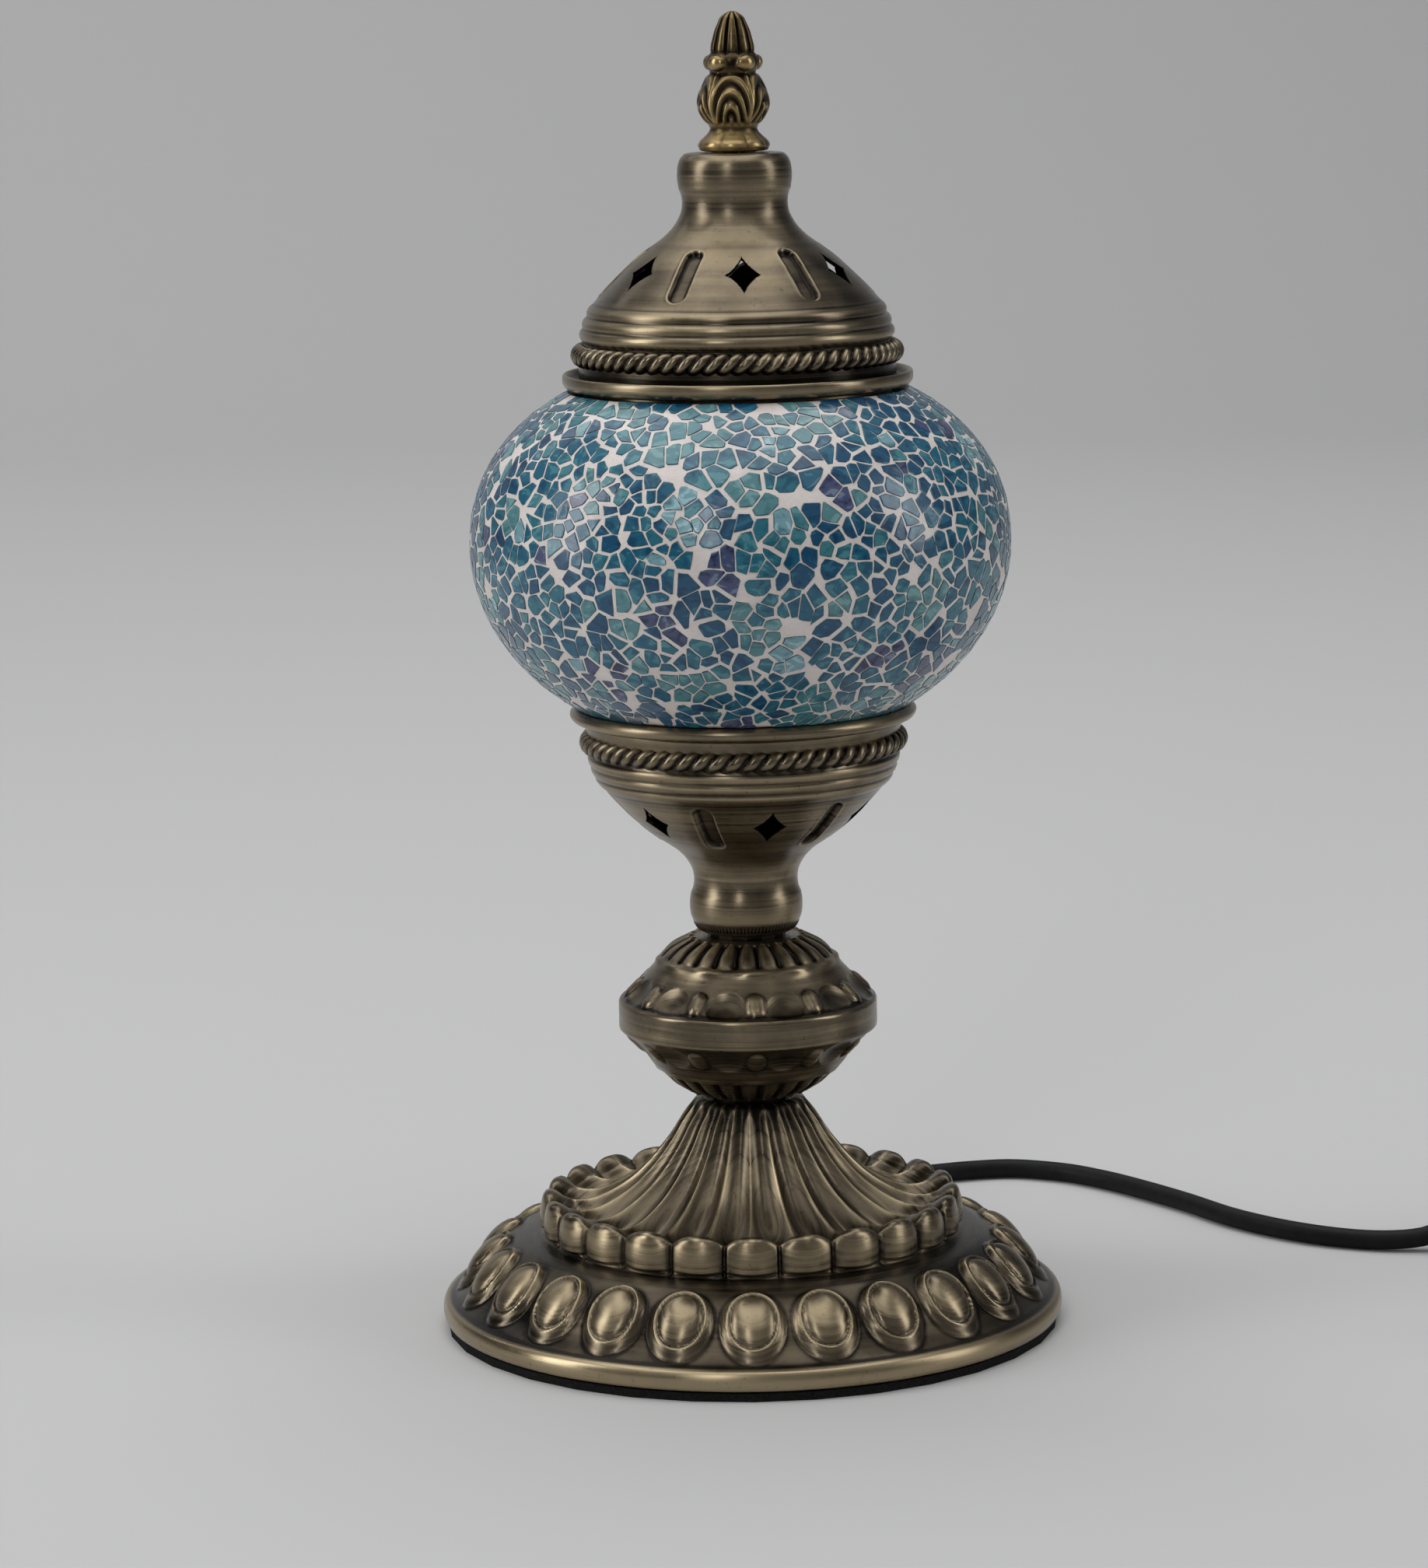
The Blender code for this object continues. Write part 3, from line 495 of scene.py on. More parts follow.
def flutes_and_collar(grid):
    """Hollow flutes with sharp ridges that run out into the barrel faces of the collar."""
    across = np.abs(grid.cell(FLUTES)) * 2.0
    crest = grid.run_at(*COLLAR_CREST)
    past = step_up(grid.run, crest - 0.4, crest + 1.8)
    ends = grid.run_at(*COLLAR_FOOT)
    depth = np.interp(grid.radius, [12.4, 15.0, 30.0, 42.0, 50.0], [0.0, 0.9, 2.2, 3.0, 2.5])
    broad = step_up(grid.radius, 38.0, 49.0)
    ridge = (1.0 - across) ** 1.9 * (1.0 - broad) + (1.0 - across ** 2.4) * broad
    hollow = depth * (ridge - 0.6 + 0.06 * broad)
    joint = np.abs(0.5 - np.abs(grid.cell(FLUTES))) * TAU / FLUTES * grid.radius
    face = 1.5 * (1.0 - across ** 2.1) - 0.7 - 0.6 * bell(joint, 0.45)
    lip = 0.35 * bell(grid.run - ends + 0.6, 0.5)
    on_face = 1.0 - step_up(grid.run, ends - 0.3, ends + 1.0)
    raised = (hollow * (1.0 - past) + (face + lip) * past) * on_face
    edge = bell(across, 0.10)
    neck = step_up(grid.radius, 14.0, 24.0)
    wear_flute = 0.34 + 0.6 * edge + 0.12 * across + 0.2 * neck * (1 - across)
    wear_flute -= 0.4 * (1.0 - step_up(grid.radius, 14.0, 19.0)) * step_up(across, 0.15, 0.5)
    wear_face = 0.72 - 0.45 * bell(joint, 0.8) + 0.35 * lip - 0.2 * step_up(across, 0.3, 1.0)
    wear_and_painted_light = wear_flute * (1.0 - past) + wear_face * past
    return raised, wear_and_painted_light, on_face


def ovals(grid):
    """A domed oval in a raised rim, with a rounded skirt that is deeper below it."""
    side = grid.side(FLUTES)
    along = grid.run - grid.run_at(*OVAL_MIDDLE)
    inner = np.hypot(side / OVAL_HALF_WIDTH, along / OVAL_HALF_HEIGHT)
    outer = np.hypot(side / SKIRT_HALF_WIDTH, (along - SKIRT_DROP) / SKIRT_HALF_HEIGHT)
    slope = np.clip(1.0 - outer, 0.0, None)
    share = slope / np.maximum(slope + np.clip(inner - 1.0, 0.0, None), 1e-6)
    skirt = RIM_HEIGHT * np.sin(share * math.pi / 2) ** 0.62
    dome = np.sqrt(np.clip(1.0 - (inner / 0.93) ** 2, 0.0, None)) * DOME_HEIGHT
    groove = -0.5 * step_up(-inner, -1.0, -0.93)
    rim = 0.40 * bell(inner - 1.02, 0.065)
    raised = skirt + groove + rim + dome
    wear_and_painted_light = 0.24 + 0.34 * share + 0.5 * bell(inner - 1.02, 0.06) - 0.6 * bell(inner - 0.95, 0.05)
    wear_and_painted_light = np.where(inner < 0.93, 0.34 + 0.42 * dome / DOME_HEIGHT, wear_and_painted_light)
    wear_and_painted_light += 0.30 * bell(outer - 0.95, 0.05) - 0.25 * bell(outer - 1.05, 0.07)
    return raised, wear_and_painted_light


def make_base(looks):
    grid = Grid([CONE, COLLAR, GROUND, BASE_BEAD], 960, 0.45)
    raised, wear_and_painted_light, on_face = flutes_and_collar(grid)
    oval_height, oval_wear = ovals(grid)
    below = grid.run > grid.run_at(*COLLAR_FOOT)
    bead_run = grid.run_at(*BEAD_START)
    bead = step_up(grid.run, bead_run - 0.6, bead_run + 0.4)
    wear_and_painted_light = np.where(below, oval_wear * (1.0 - on_face) + 0.15 * on_face, wear_and_painted_light)
    # Painted highlight: the whole bead is made fully bright, standing in for the light it reflects from
    # above.
    wear_and_painted_light = wear_and_painted_light * (1.0 - bead) + bead
    wear_and_painted_light -= 0.5 * bell(grid.run - bead_run + 0.7, 0.7)
    raised = raised + np.where(below, oval_height, 0.0)
    top = lathe("top", Grid([BASE_TOP], 96, 1.0), 0.0, 0.1)
    mesh = joined("base_shell_skin", [lathe("cone", grid, raised, wear_and_painted_light), top])
    add_skin(mesh, "lamp", looks, "base_shell")


# ---- baluster

UPPER_NECK = [(6.0, 96.0), (11.0, 96.0), (13.2, 95.9)]
UPPER_SLOPE = [
    (15.4, 95.1), (18.4, 93.5), (20.6, 91.5), (22.0, 89.9), (24.2, 87.3), (26.4, 85.0), (28.8, 82.6),
    (30.6, 80.9),
]
BELT_TOP = [(31.2, 80.6), (31.5, 80.0)]
BELT = [(31.5, 74.0)]
BELT_FOOT = [(31.3, 73.5), (30.6, 73.4)]
LOWER_SLOPE = [
    (30.6, 73.3), (29.2, 71.7), (27.2, 69.8), (25.2, 67.6), (23.6, 65.2), (20.8, 62.8), (18.0, 60.2),
    (14.6, 58.2), (11.4, 57.1), (8.0, 57.0),
]
LOBES = 12
LOBE_TURN = math.radians(3.9)


def slope_relief(grid, neck_run, rib_run, belt_run, away):
    """Ribs by the neck, a swelling band, then narrow lobes with scooped dents between them.

    away is the distance along the slope from its neck end; the runs are measured the same way.
    """
    rib = np.abs(grid.cell(FLUTES)) * 2.0
    in_ribs = step_up(away, neck_run, neck_run + 0.8) * (1.0 - step_up(away, rib_run - 1.2, rib_run))
    ribs = 1.25 * (np.sqrt(np.clip(1.0 - rib ** 2, 0.0, None)) - 0.75) * in_ribs
    bead = 0.4 * bell(away - neck_run - 0.3, 0.6) * step_up(-rib, -0.5, -0.1)
    side = grid.side(LOBES, LOBE_TURN)
    half = 3.5
    middle = belt_run - half - 0.5
    reach = np.hypot(side / 2.3, np.clip(np.abs(away - middle) - half + 2.3, 0.0, None) / 2.3)
    lobe = 0.85 * np.clip(1.0 - reach ** 2, 0.0, None) ** 0.8
    swell = 1.0 + 0.5 * np.cos(LOBES * (grid.turn - LOBE_TURN))
    band = 0.45 * bell(away - rib_run - 0.9, 1.1) * swell
    pitch = TAU / LOBES * grid.radius
    off = pitch / 2 - np.abs(side)
    scoop_half = pitch / 2 - 2.4
    scoop = np.hypot(off / scoop_half, (away - middle - 0.2) / (half + 0.8))
    dent = -0.95 * np.clip(1.0 - scoop ** 2, 0.0, None)
    raised = ribs + bead + lobe + dent + band
    wear_and_painted_light = 0.6 + 0.4 * band
    wear_and_painted_light = wear_and_painted_light * (1.0 - in_ribs) + in_ribs * (0.72 - 0.85 * step_up(rib, 0.35, 0.95))
    wear_and_painted_light += 0.35 * bell(away - neck_run - 0.3, 0.6) * step_up(-rib, -0.5, -0.1)
    wear_and_painted_light += 0.25 * np.clip(lobe, 0.0, 1.0) - 0.25 * np.clip(1.0 - scoop, 0.0, 1.0)
    wear_and_painted_light -= 0.22 * bell(reach - 1.05, 0.2) * (np.abs(away - middle) < half + 1.0)
    return raised, wear_and_painted_light


def make_baluster(looks):
    grid = Grid([UPPER_NECK, UPPER_SLOPE, BELT_TOP, BELT, BELT_FOOT], 720, 0.35)
    start = grid.run_at(95.9, 13.2)
    rib_end = grid.run_at(91.0, 21.1)
    belt = grid.run_at(80.9, 30.6)
    raised, wear_and_painted_light = slope_relief(grid, start, rib_end, belt, grid.run)
    on_belt = step_up(grid.run, belt - 0.4, belt + 0.4)
    raised = raised * (1.0 - on_belt)
    edge = bell(grid.run - grid.run_at(80.4, 31.3), 0.4)
    edge += 0.6 * bell(grid.run - grid.run_at(73.8, 31.45), 0.4)
    wear_and_painted_light = wear_and_painted_light * (1.0 - on_belt) + on_belt * (0.52 + 0.3 * edge)
    wear_and_painted_light -= 0.5 * bell(grid.run - belt + 0.7, 0.6)
    upper = lathe("baluster_upper_skin", grid, raised, wear_and_painted_light)
    add_skin(upper, "lamp", looks, "baluster_upper")

    grid = Grid([LOWER_SLOPE], 720, 0.35)
    away = grid.run[-1:, :1] - grid.run
    total = float(grid.run[-1, 0])
    start = total - grid.run_at(57.9, 13.8)
    rib_end = total - grid.run_at(63.4, 21.5)
    raised, wear_and_painted_light = slope_relief(grid, start, rib_end, total - 0.6, away)
    lower = lathe("baluster_lower_skin", grid, raised * 0.9, wear_and_painted_light - 0.15)
    add_skin(lower, "lamp", looks, "baluster_lower")


# ---- cap and cup

CAP_TOP = [(2.3, 285.1), (10.6, 285.1), (12.4, 284.4), (13.4, 282.6), (13.7, 279.6), (13.4, 276.9)]
CAP_NECK = [
    (12.8, 275.2), (12.6, 273.4), (12.8, 271.6), (13.4, 270.0), (14.9, 267.6), (17.3, 265.2),
    (19.8, 263.4),
]
CAP_CONE = [(24.0, 260.2), (29.6, 254.9), (32.6, 251.8), (34.4, 249.7)]
CAP_STEPS = [
    [(35.3, 249.0), (35.8, 248.0), (35.8, 246.8)],
    [(36.6, 246.2), (37.0, 245.2), (36.9, 244.0)],
    [(37.5, 243.4), (37.7, 242.4), (37.4, 241.5), (36.8, 240.9)],
    [(36.7, 240.3), (37.0, 240.0)],
]
CAP_SKIRT = [(37.4, 238.6), (37.8, 236.4), (38.0, 234.4), (38.0, 232.2)]
CAP_ROPE = (37.2, 237.7, 2.7)      # radius of the rope's middle, height, half thickness

CUP_TOP = [(38.4, 149.2), (38.2, 147.8), (37.5, 145.0), (37.3, 142.6), (37.4, 141.4)]
CUP_STEPS = [
    [(37.8, 140.6), (37.6, 139.3), (37.0, 138.6)],
    [(37.1, 137.6), (36.6, 136.6), (36.0, 136.0)],
    [(36.0, 135.2), (35.2, 134.1), (34.0, 133.1)],
]
CUP_CONE = [(31.8, 130.6), (28.4, 126.9), (24.9, 123.6), (21.8, 121.2)]
CUP_NECK = [
    (19.4, 119.6), (16.6, 117.6), (14.4, 115.2), (13.0, 112.6), (12.6, 110.2), (12.8, 108.2),
    (13.4, 106.6),
]
CUP_FOOT = [(13.7, 104.6), (13.6, 101.8), (13.0, 100.0), (12.0, 98.2), (11.0, 97.4), (9.0, 97.4)]
CUP_ROPE = (37.2, 144.2, 2.6)

WALL = 0.9
STAR_HALF_WIDTH = 4.2
STAR_HALF_HEIGHT = 5.9
STAR_HOLLOW = 0.78                 # 1 gives straight sides, less gives hollow ones
STAR_CORNERS = 24
STAR_CUT = 0.004                   # how far the cutters reach on either side of the wall, m
SLOT_HALF_WIDTH = 2.25
SLOT_HALF_LENGTH = 8.3
CAP_TWISTS = 68
CUP_TWISTS = 60
ROPE_COLUMNS = 12                  # for each twist
ROPE_ROWS = 30


def slots(grid, height, first):
    """Pressed channels with round ends, halfway between the stars."""
    side = grid.side(PIERCINGS, first + math.pi / PIERCINGS)
    along = grid.run - grid.run_at(height)
    straight = SLOT_HALF_LENGTH - SLOT_HALF_WIDTH
    gap = np.hypot(side, np.clip(np.abs(along) - straight, 0.0, None)) - SLOT_HALF_WIDTH
    raised = -1.25 * step_up(-gap, -0.2, 0.7) + 0.10 * bell(gap - 0.4, 0.35)
    wear_and_painted_light = 0.2 * bell(gap - 0.3, 0.3) - 0.5 * bell(gap + 0.5, 0.5) - 0.28 * step_up(-gap, 0.0, 0.6)
    return raised, wear_and_painted_light


def star_cutters(name, radius, height, lean, first):
    """Six diamonds with hollow sides, each square to the wall that it goes through."""
    power = 2.0 / STAR_HOLLOW
    form = bmesh.new()
    outline = []
    for k in range(STAR_CORNERS):
        angle = TAU * k / STAR_CORNERS
        across = math.copysign(abs(math.cos(angle)) ** power, math.cos(angle))
        along = math.copysign(abs(math.sin(angle)) ** power, math.sin(angle))
        outline.append((STAR_HALF_WIDTH * MM * across, STAR_HALF_HEIGHT * MM * along))
    normal = Vector((math.sqrt(1.0 - lean * lean), 0.0, lean))
    across = Vector((0.0, 1.0, 0.0))
    local = Matrix((across, normal.cross(across), normal)).transposed().to_4x4()
    local.translation = Vector((radius * MM, 0.0, height * MM))
    for k in range(PIERCINGS):
        turn = Matrix.Rotation(FRONT + first + TAU * k / PIERCINGS, 4, "Z") @ local
        inner = [form.verts.new(turn @ Vector((x, y, -STAR_CUT))) for x, y in outline]
        outer = [form.verts.new(turn @ Vector((x, y, STAR_CUT))) for x, y in outline]
        form.faces.new(inner[::-1])
        form.faces.new(outer)
        for j in range(STAR_CORNERS):
            after = (j + 1) % STAR_CORNERS
            form.faces.new((inner[j], inner[after], outer[after], outer[j]))
    bmesh.ops.recalc_face_normals(form, faces=form.faces)
    mesh = bpy.data.meshes.new(name)
    form.to_mesh(mesh)
    form.free()
    return mesh


def pierced(mesh, cutters):
    """The mesh given a wall on its inner side, with the cutters' shapes cut through it."""
    thing = bpy.data.objects.new(mesh.name, mesh)
    knife = bpy.data.objects.new(cutters.name, cutters)
    for made in (thing, knife):
        bpy.context.scene.collection.objects.link(made)
    solid = thing.modifiers.new("wall", "SOLIDIFY")
    solid.thickness = WALL * MM
    solid.offset = -1.0
    cut = thing.modifiers.new("stars", "BOOLEAN")
    cut.operation = "DIFFERENCE"
    cut.solver = "EXACT"
    cut.object = knife
    graph = bpy.context.evaluated_depsgraph_get()
    result = bpy.data.meshes.new_from_object(thing.evaluated_get(graph))
    bpy.data.objects.remove(thing)
    bpy.data.objects.remove(knife)
    return result


def rope(name, place, twists, strength, slant):
    """A twisted bead round the lamp: the outer 260 degrees of its section, from the top down."""
    middle, height, half = place
    columns = twists * ROPE_COLUMNS
    round_it = -math.pi * 0.72 + np.arange(ROPE_ROWS)[:, None] * math.pi * 1.44 / (ROPE_ROWS - 1)
    round_it = round_it[::-1]
    turn = np.arange(columns)[None, :] * TAU / columns
    phase = twists * turn - slant * round_it
    strand = np.abs(np.sin(phase / 2))
    swell = strand ** 0.75
    fade = np.clip(np.cos(round_it * 0.69), 0.0, 1.0) ** 0.5
    thick = half * (1.0 - strength * (1.0 - swell) * fade)
    radius = middle + thick * np.cos(round_it)
    level = height + thick * np.sin(round_it)
    # Darker in the grooves between strands, and darker on the underside as painted shade beneath the
    # rope.
    wear_and_painted_light = 0.66 - 0.8 * step_up(1.0 - swell, 0.2, 0.7) - 0.5 * step_up(-np.sin(round_it), 0.35, 0.8)
    return turned(name, turn, radius, level, wear_and_painted_light)


def step_wear(grid, low, high):
    """Dark lines in the creases between pressed steps, and bright ones on their edges."""
    wear_and_painted_light = np.zeros_like(grid.run)
    for height in low:
        wear_and_painted_light -= 0.45 * bell(grid.run - grid.run_at(height), 0.32)
    for height in high:
        wear_and_painted_light += 0.25 * bell(grid.run - grid.run_at(height), 0.45)
    return wear_and_painted_light


def make_cap(looks):
    grid = Grid([CAP_TOP, CAP_NECK, CAP_CONE, *CAP_STEPS, CAP_SKIRT], 540, 0.38)
    raised, wear_and_painted_light = slots(grid, 257.6, CAP_STAR_TURN)
    wear_and_painted_light += 0.54 + step_wear(grid, (249.7, 246.8, 244.0, 240.6), (248.6, 245.7, 242.9))
    wear_and_painted_light -= 0.12 * bell(grid.run - grid.run_at(263.6), 0.9)
    # Painted shadow: darker below the rope's top, on the skirt that lies under and behind the rope.
    wear_and_painted_light -= 0.4 * step_up(-grid.height, -240.9, -240.2)
    cutters = star_cutters("cap_stars", 26.5, 257.8, 0.72, CAP_STAR_TURN)
    shell = pierced(lathe("cap_shell", grid, raised, wear_and_painted_light), cutters)
    mesh = joined("top_cap_skin", [shell, rope("cap_rope", CAP_ROPE, CAP_TWISTS, 0.40, 2.6)])
    add_skin(mesh, "cap", looks, "top_cap")


def make_cup(looks):
    grid = Grid([CUP_TOP, *CUP_STEPS, CUP_CONE, CUP_NECK, CUP_FOOT], 540, 0.38)
    raised, wear_and_painted_light = slots(grid, 126.0, CUP_STAR_TURN)
    wear_and_painted_light += 0.58 + step_wear(grid, (141.2, 138.6, 136.0, 133.1), (140.4, 137.8, 135.4))
    wear_and_painted_light -= 0.15 * bell(grid.run - grid.run_at(118.6), 1.2)
    knurl = step_up(-grid.height, -99.9, -99.3) * (1.0 - step_up(-grid.height, -98.2, -97.8))
    teeth = np.cos(90 * grid.turn)
    raised += 0.16 * teeth * knurl
    wear_and_painted_light += knurl * (0.2 * teeth - 0.35) - 0.4 * bell(grid.height - 99.9, 0.35)
    cutters = star_cutters("cup_stars", 28.4, 126.9, -0.72, CUP_STAR_TURN)
    shell = pierced(lathe("cup_shell", grid, raised, wear_and_painted_light), cutters)
    mesh = joined("holder_cup_skin", [shell, rope("cup_rope", CUP_ROPE, CUP_TWISTS, 0.36, 2.5)])
    add_skin(mesh, "lamp", looks, "holder_cup")


def make_rings(looks):
    grid = Grid([
        [(36.0, 158.0), (36.9, 157.6), (36.9, 152.8)],
        [(40.0, 152.9), (41.4, 152.2), (41.9, 151.2), (41.4, 150.1), (40.0, 149.5), (35.2, 149.6)],
        [(35.1, 157.0), (36.0, 158.0)],
    ], 288, 0.5)
    wear_and_painted_light = 0.72 - 0.5 * step_up(-grid.radius, -38.8, -37.6)
    add_skin(lathe("lower_ring_skin", grid, 0.0, wear_and_painted_light), "lamp", looks, "lower_gallery_ring")
    grid = Grid([
        [(35.0, 233.0), (37.6, 232.6), (38.6, 231.4), (39.9, 231.3), (40.6, 232.4)],
        [(41.1, 233.2), (41.8, 233.1), (42.0, 232.0), (41.8, 230.7), (40.9, 229.8), (39.6, 229.5)],
        [(36.9, 229.6)],
        [(36.9, 225.0), (36.0, 224.6), (35.1, 225.0), (35.0, 233.0)],
    ], 288, 0.5)
    wear_and_painted_light = 0.74 - 0.65 * step_up(-grid.radius, -41.0, -40.2) * step_up(grid.height, 230.6, 231.2)
    add_skin(lathe("upper_ring_skin", grid, 0.0, wear_and_painted_light), "cap", looks, "upper_gallery_ring")


# ---- finial

BUD = [
    (0.35, 319.0), (1.4, 318.6), (2.6, 317.6), (3.4, 316.0), (4.1, 314.4), (4.6, 312.6), (5.0, 311.0),
    (5.1, 309.4),
]
LEAVES = [(5.9, 308.6), (6.3, 307.6), (6.2, 306.4), (5.6, 305.2), (5.5, 304.4)]
BULB = [
    (6.3, 303.4), (7.2, 301.8), (8.0, 299.8), (8.4, 297.8), (8.1, 295.9), (7.2, 294.2), (6.2, 292.9),
    (5.6, 291.6),
]
FOOT = [(6.0, 290.6), (6.8, 289.6), (7.8, 288.7), (8.3, 287.9), (8.3, 287.1), (7.7, 286.4), (4.0, 286.2)]
PANELS = 5
PANEL_TURN = math.radians(-4.0)
FINIAL_SINK = 0.8                  # how far the foot comes down over its spacer


def make_finial(looks):
    """A ribbed bud in a ring of leaves, over a bulb of arched panels and a faceted foot."""
    grid = Grid([BUD, LEAVES, BULB, FOOT], 320, 0.22)
    height = grid.height
    pitch = TAU / PANELS * np.maximum(grid.radius, 0.5)
    bud = step_up(height, 308.6, 310.0) * (1.0 - 0.5 * step_up(height, 317.0, 318.8))
    petal = np.abs(grid.cell(2 * PANELS)) * 2.0
    raised = bud * 0.75 * (np.sqrt(np.clip(1.0 - petal ** 2, 0.0, None)) - 0.6)
    wear_and_painted_light = 0.66 - 0.75 * bud * step_up(petal, 0.4, 0.9)
    leaf = grid.side(PANELS, PANEL_TURN + math.pi / PANELS)
    nub = np.hypot(leaf / 2.6, (height - 307.0) / 1.8)
    raised += 0.95 * np.clip(1.0 - nub ** 2, 0.0, None) ** 0.6
    band = bell(height - 307.0, 2.0)
    wear_and_painted_light += band * (0.3 * step_up(-nub, -1.0, -0.5) - 0.55 * step_up(nub, 0.9, 1.3))
    belly = step_up(height, 292.4, 293.4) * (1.0 - step_up(height, 303.4, 305.0))
    spot = grid.side(PANELS, PANEL_TURN)
    ridge = bell(pitch / 2 - np.abs(spot), 0.55)
    arch = np.hypot(spot / 4.6, np.clip(height - 293.6, 0.0, None) / 9.0)
    waves = np.cos(arch * TAU * 2.6)
    raised += belly * (0.30 * waves * (1.0 - ridge) + 0.45 * ridge)
    wear_and_painted_light += belly * ((0.42 * waves - 0.28) * (1.0 - ridge) + 0.25 * ridge)
    facet = np.abs(grid.cell(8)) * 2.0
    skirt = step_up(-height, -291.4, -289.6) * (1.0 - step_up(-height, -287.6, -286.8))
    raised += skirt * 0.22 * (1.0 - facet ** 2)
    wear_and_painted_light += skirt * (0.15 - 0.25 * step_up(facet, 0.75, 1.0))
    for depth, crease, width in ((0.4, 291.6, 0.6), (0.35, 304.4, 0.5), (0.3, 309.5, 0.5)):
        wear_and_painted_light -= depth * bell(height - crease, width)
    mesh = lathe("finial_skin", grid, raised, wear_and_painted_light, tip=True)
    mesh.transform(Matrix.Translation((0.0, 0.0, -FINIAL_SINK * MM)))
    add_skin(mesh, "cap", looks, "finial", "golden_brass")


# ---- globe

def globe_radius(height):
    rise = height - GLOBE_MIDDLE
    half, power = (GLOBE_RISE, 2.2) if rise > 0 else (GLOBE_DROP, 2.0)
    return GLOBE_RADIUS * (1.0 - (abs(rise) / half) ** power) ** (1.0 / power)


def globe_slope(height):
    return (globe_radius(height + 0.05) - globe_radius(height - 0.05)) / 0.1


def globe_normal(place):
    """Outward normal of the globe at a point on it, mm."""
    reach = math.hypot(place.x, place.y)
    return Vector((place.x / reach, place.y / reach, -globe_slope(place.z))).normalized()


def globe_shell(outset, inset, count, columns, step):
    """The grid of a shell between two depths below the globe's surface, mm."""
    sides = []
    for depth in (outset, inset):
        points = []
        for k in range(count + 1):
            height = GLOBE_TOP + (GLOBE_FOOT - GLOBE_TOP) * k / count
            slope = globe_slope(height)
            scale = depth / math.hypot(1.0, slope)
            points.append((globe_radius(height) - scale, height + slope * scale))
        sides.append(points)
    outer, inner = sides[0], sides[1][::-1]
    return Grid([outer, inner[:1], inner[1:], outer[:1]], columns, step)


MOSAIC_SEED = 7
SCATTER_TRIES = 160000         # tries at placing a point, for a spacing of 1 mm
SHARD_SPACING = 2.7            # least distance between the middles of two shards of glass
SHARDS_KEPT = 0.68             # share of those middles that get a shard, so that sizes vary
SHARD_REACH = (3.2, 4.8)       # how far a shard with few neighbours reaches from its middle
SHARD_CORNERS = 7              # of such a shard
SHARD_AREA = 1.1               # smaller shards are left out
SHARDS_LOST = 0.022            # share of the others that are left out too
PIECE_SPACING = 7.5            # least distance between the middles of the pieces that were cracked
TONE_KEPT = 0.72               # share of shards in their piece's own colour
LINE_TILT = 0.38               # how far the line between two shards leans from the fair one
LINE_SHIFT = 0.10              # how far it moves towards one of them, as a share of the way
NEIGHBOURS = 16                # shards looked at for such lines
NEAR = 11.0                    # how far off they may be
CRACK = 0.17                   # half width of a line between shards of one piece
JOINT = 0.31                   # half width of a line between pieces
RAGGED = 0.16                  # how far a broken edge strays from straight
RAGGED_FROM = 1.6              # least length of an edge that does
CHIP_PROUD = 0.05
CHIP_THICK = 0.75
DARK_RIM = 0.35                # share of the sloping rim's faces that show the dark broken edge


def scatter(rng, spacing, low, high):
    """Points over the globe, no two closer than the spacing."""
    points = []
    cells = {}
    for _ in range(int(SCATTER_TRIES / spacing)):
        height = rng.uniform(low, high)
        turn = rng.uniform(0.0, TAU)
        radius = globe_radius(height)
        place = Vector((radius * math.cos(turn), radius * math.sin(turn), height))
        key = tuple(int(math.floor(part / spacing)) for part in place)
        near = False
        for step in itertools.product((-1, 0, 1), repeat=3):
            for other in cells.get(tuple(part + move for part, move in zip(key, step)), ()):
                near = near or (other - place).length < spacing
        if not near:
            points.append(place)
            cells.setdefault(key, []).append(place)
    return points


def clip(polygon, point, normal):
    """The part of a flat polygon on the side of a plane that its normal points away from."""
    kept = []
    for a, b in zip(polygon, polygon[1:] + polygon[:1]):
        da = (a - point).dot(normal)
        db = (b - point).dot(normal)
        if da <= 0.0:
            kept.append(a)
        if (da < 0.0 < db) or (db < 0.0 < da):
            kept.append(a.lerp(b, da / (da - db)))
    return kept


def laid_shard(k, seeds, owner, lines, tree, rng):
    """A shard's outline: a crack away from shards of its own piece, a joint away from the others."""
    place = seeds[k]
    normal = globe_normal(place)
    side = normal.orthogonal().normalized()
    up = normal.cross(side)
    limit = rng.uniform(*SHARD_REACH)
    turn = rng.uniform(0.0, TAU)
    corners = [turn + TAU * j / SHARD_CORNERS for j in range(SHARD_CORNERS)]
    outline = [place + limit * (side * math.cos(angle) + up * math.sin(angle)) for angle in corners]
    for _, index, distance in tree.find_n(place, NEIGHBOURS):
        if index == k or distance > NEAR:
            continue
        first, second = min(k, index), max(k, index)
        if (first, second) not in lines:
            width = CRACK * rng.uniform(0.6, 1.6)
            if owner[first] != owner[second]:
                width = JOINT * rng.uniform(0.5, 1.9)
            shift = rng.uniform(-LINE_SHIFT, LINE_SHIFT)
            lines[first, second] = (rng.uniform(-LINE_TILT, LINE_TILT), 0.5 + shift, width)
        lean, share, width = lines[first, second]
        away = seeds[second] - seeds[first]
        away = (away - normal * away.dot(normal)).normalized()
        away = (away + normal.cross(away) * lean).normalized()
        if index == first:
            away = -away
        middle = seeds[first].lerp(seeds[second], share)
        outline = clip(outline, middle - away * width, away)
        if len(outline) < 3:
            return [], normal
    return outline, normal


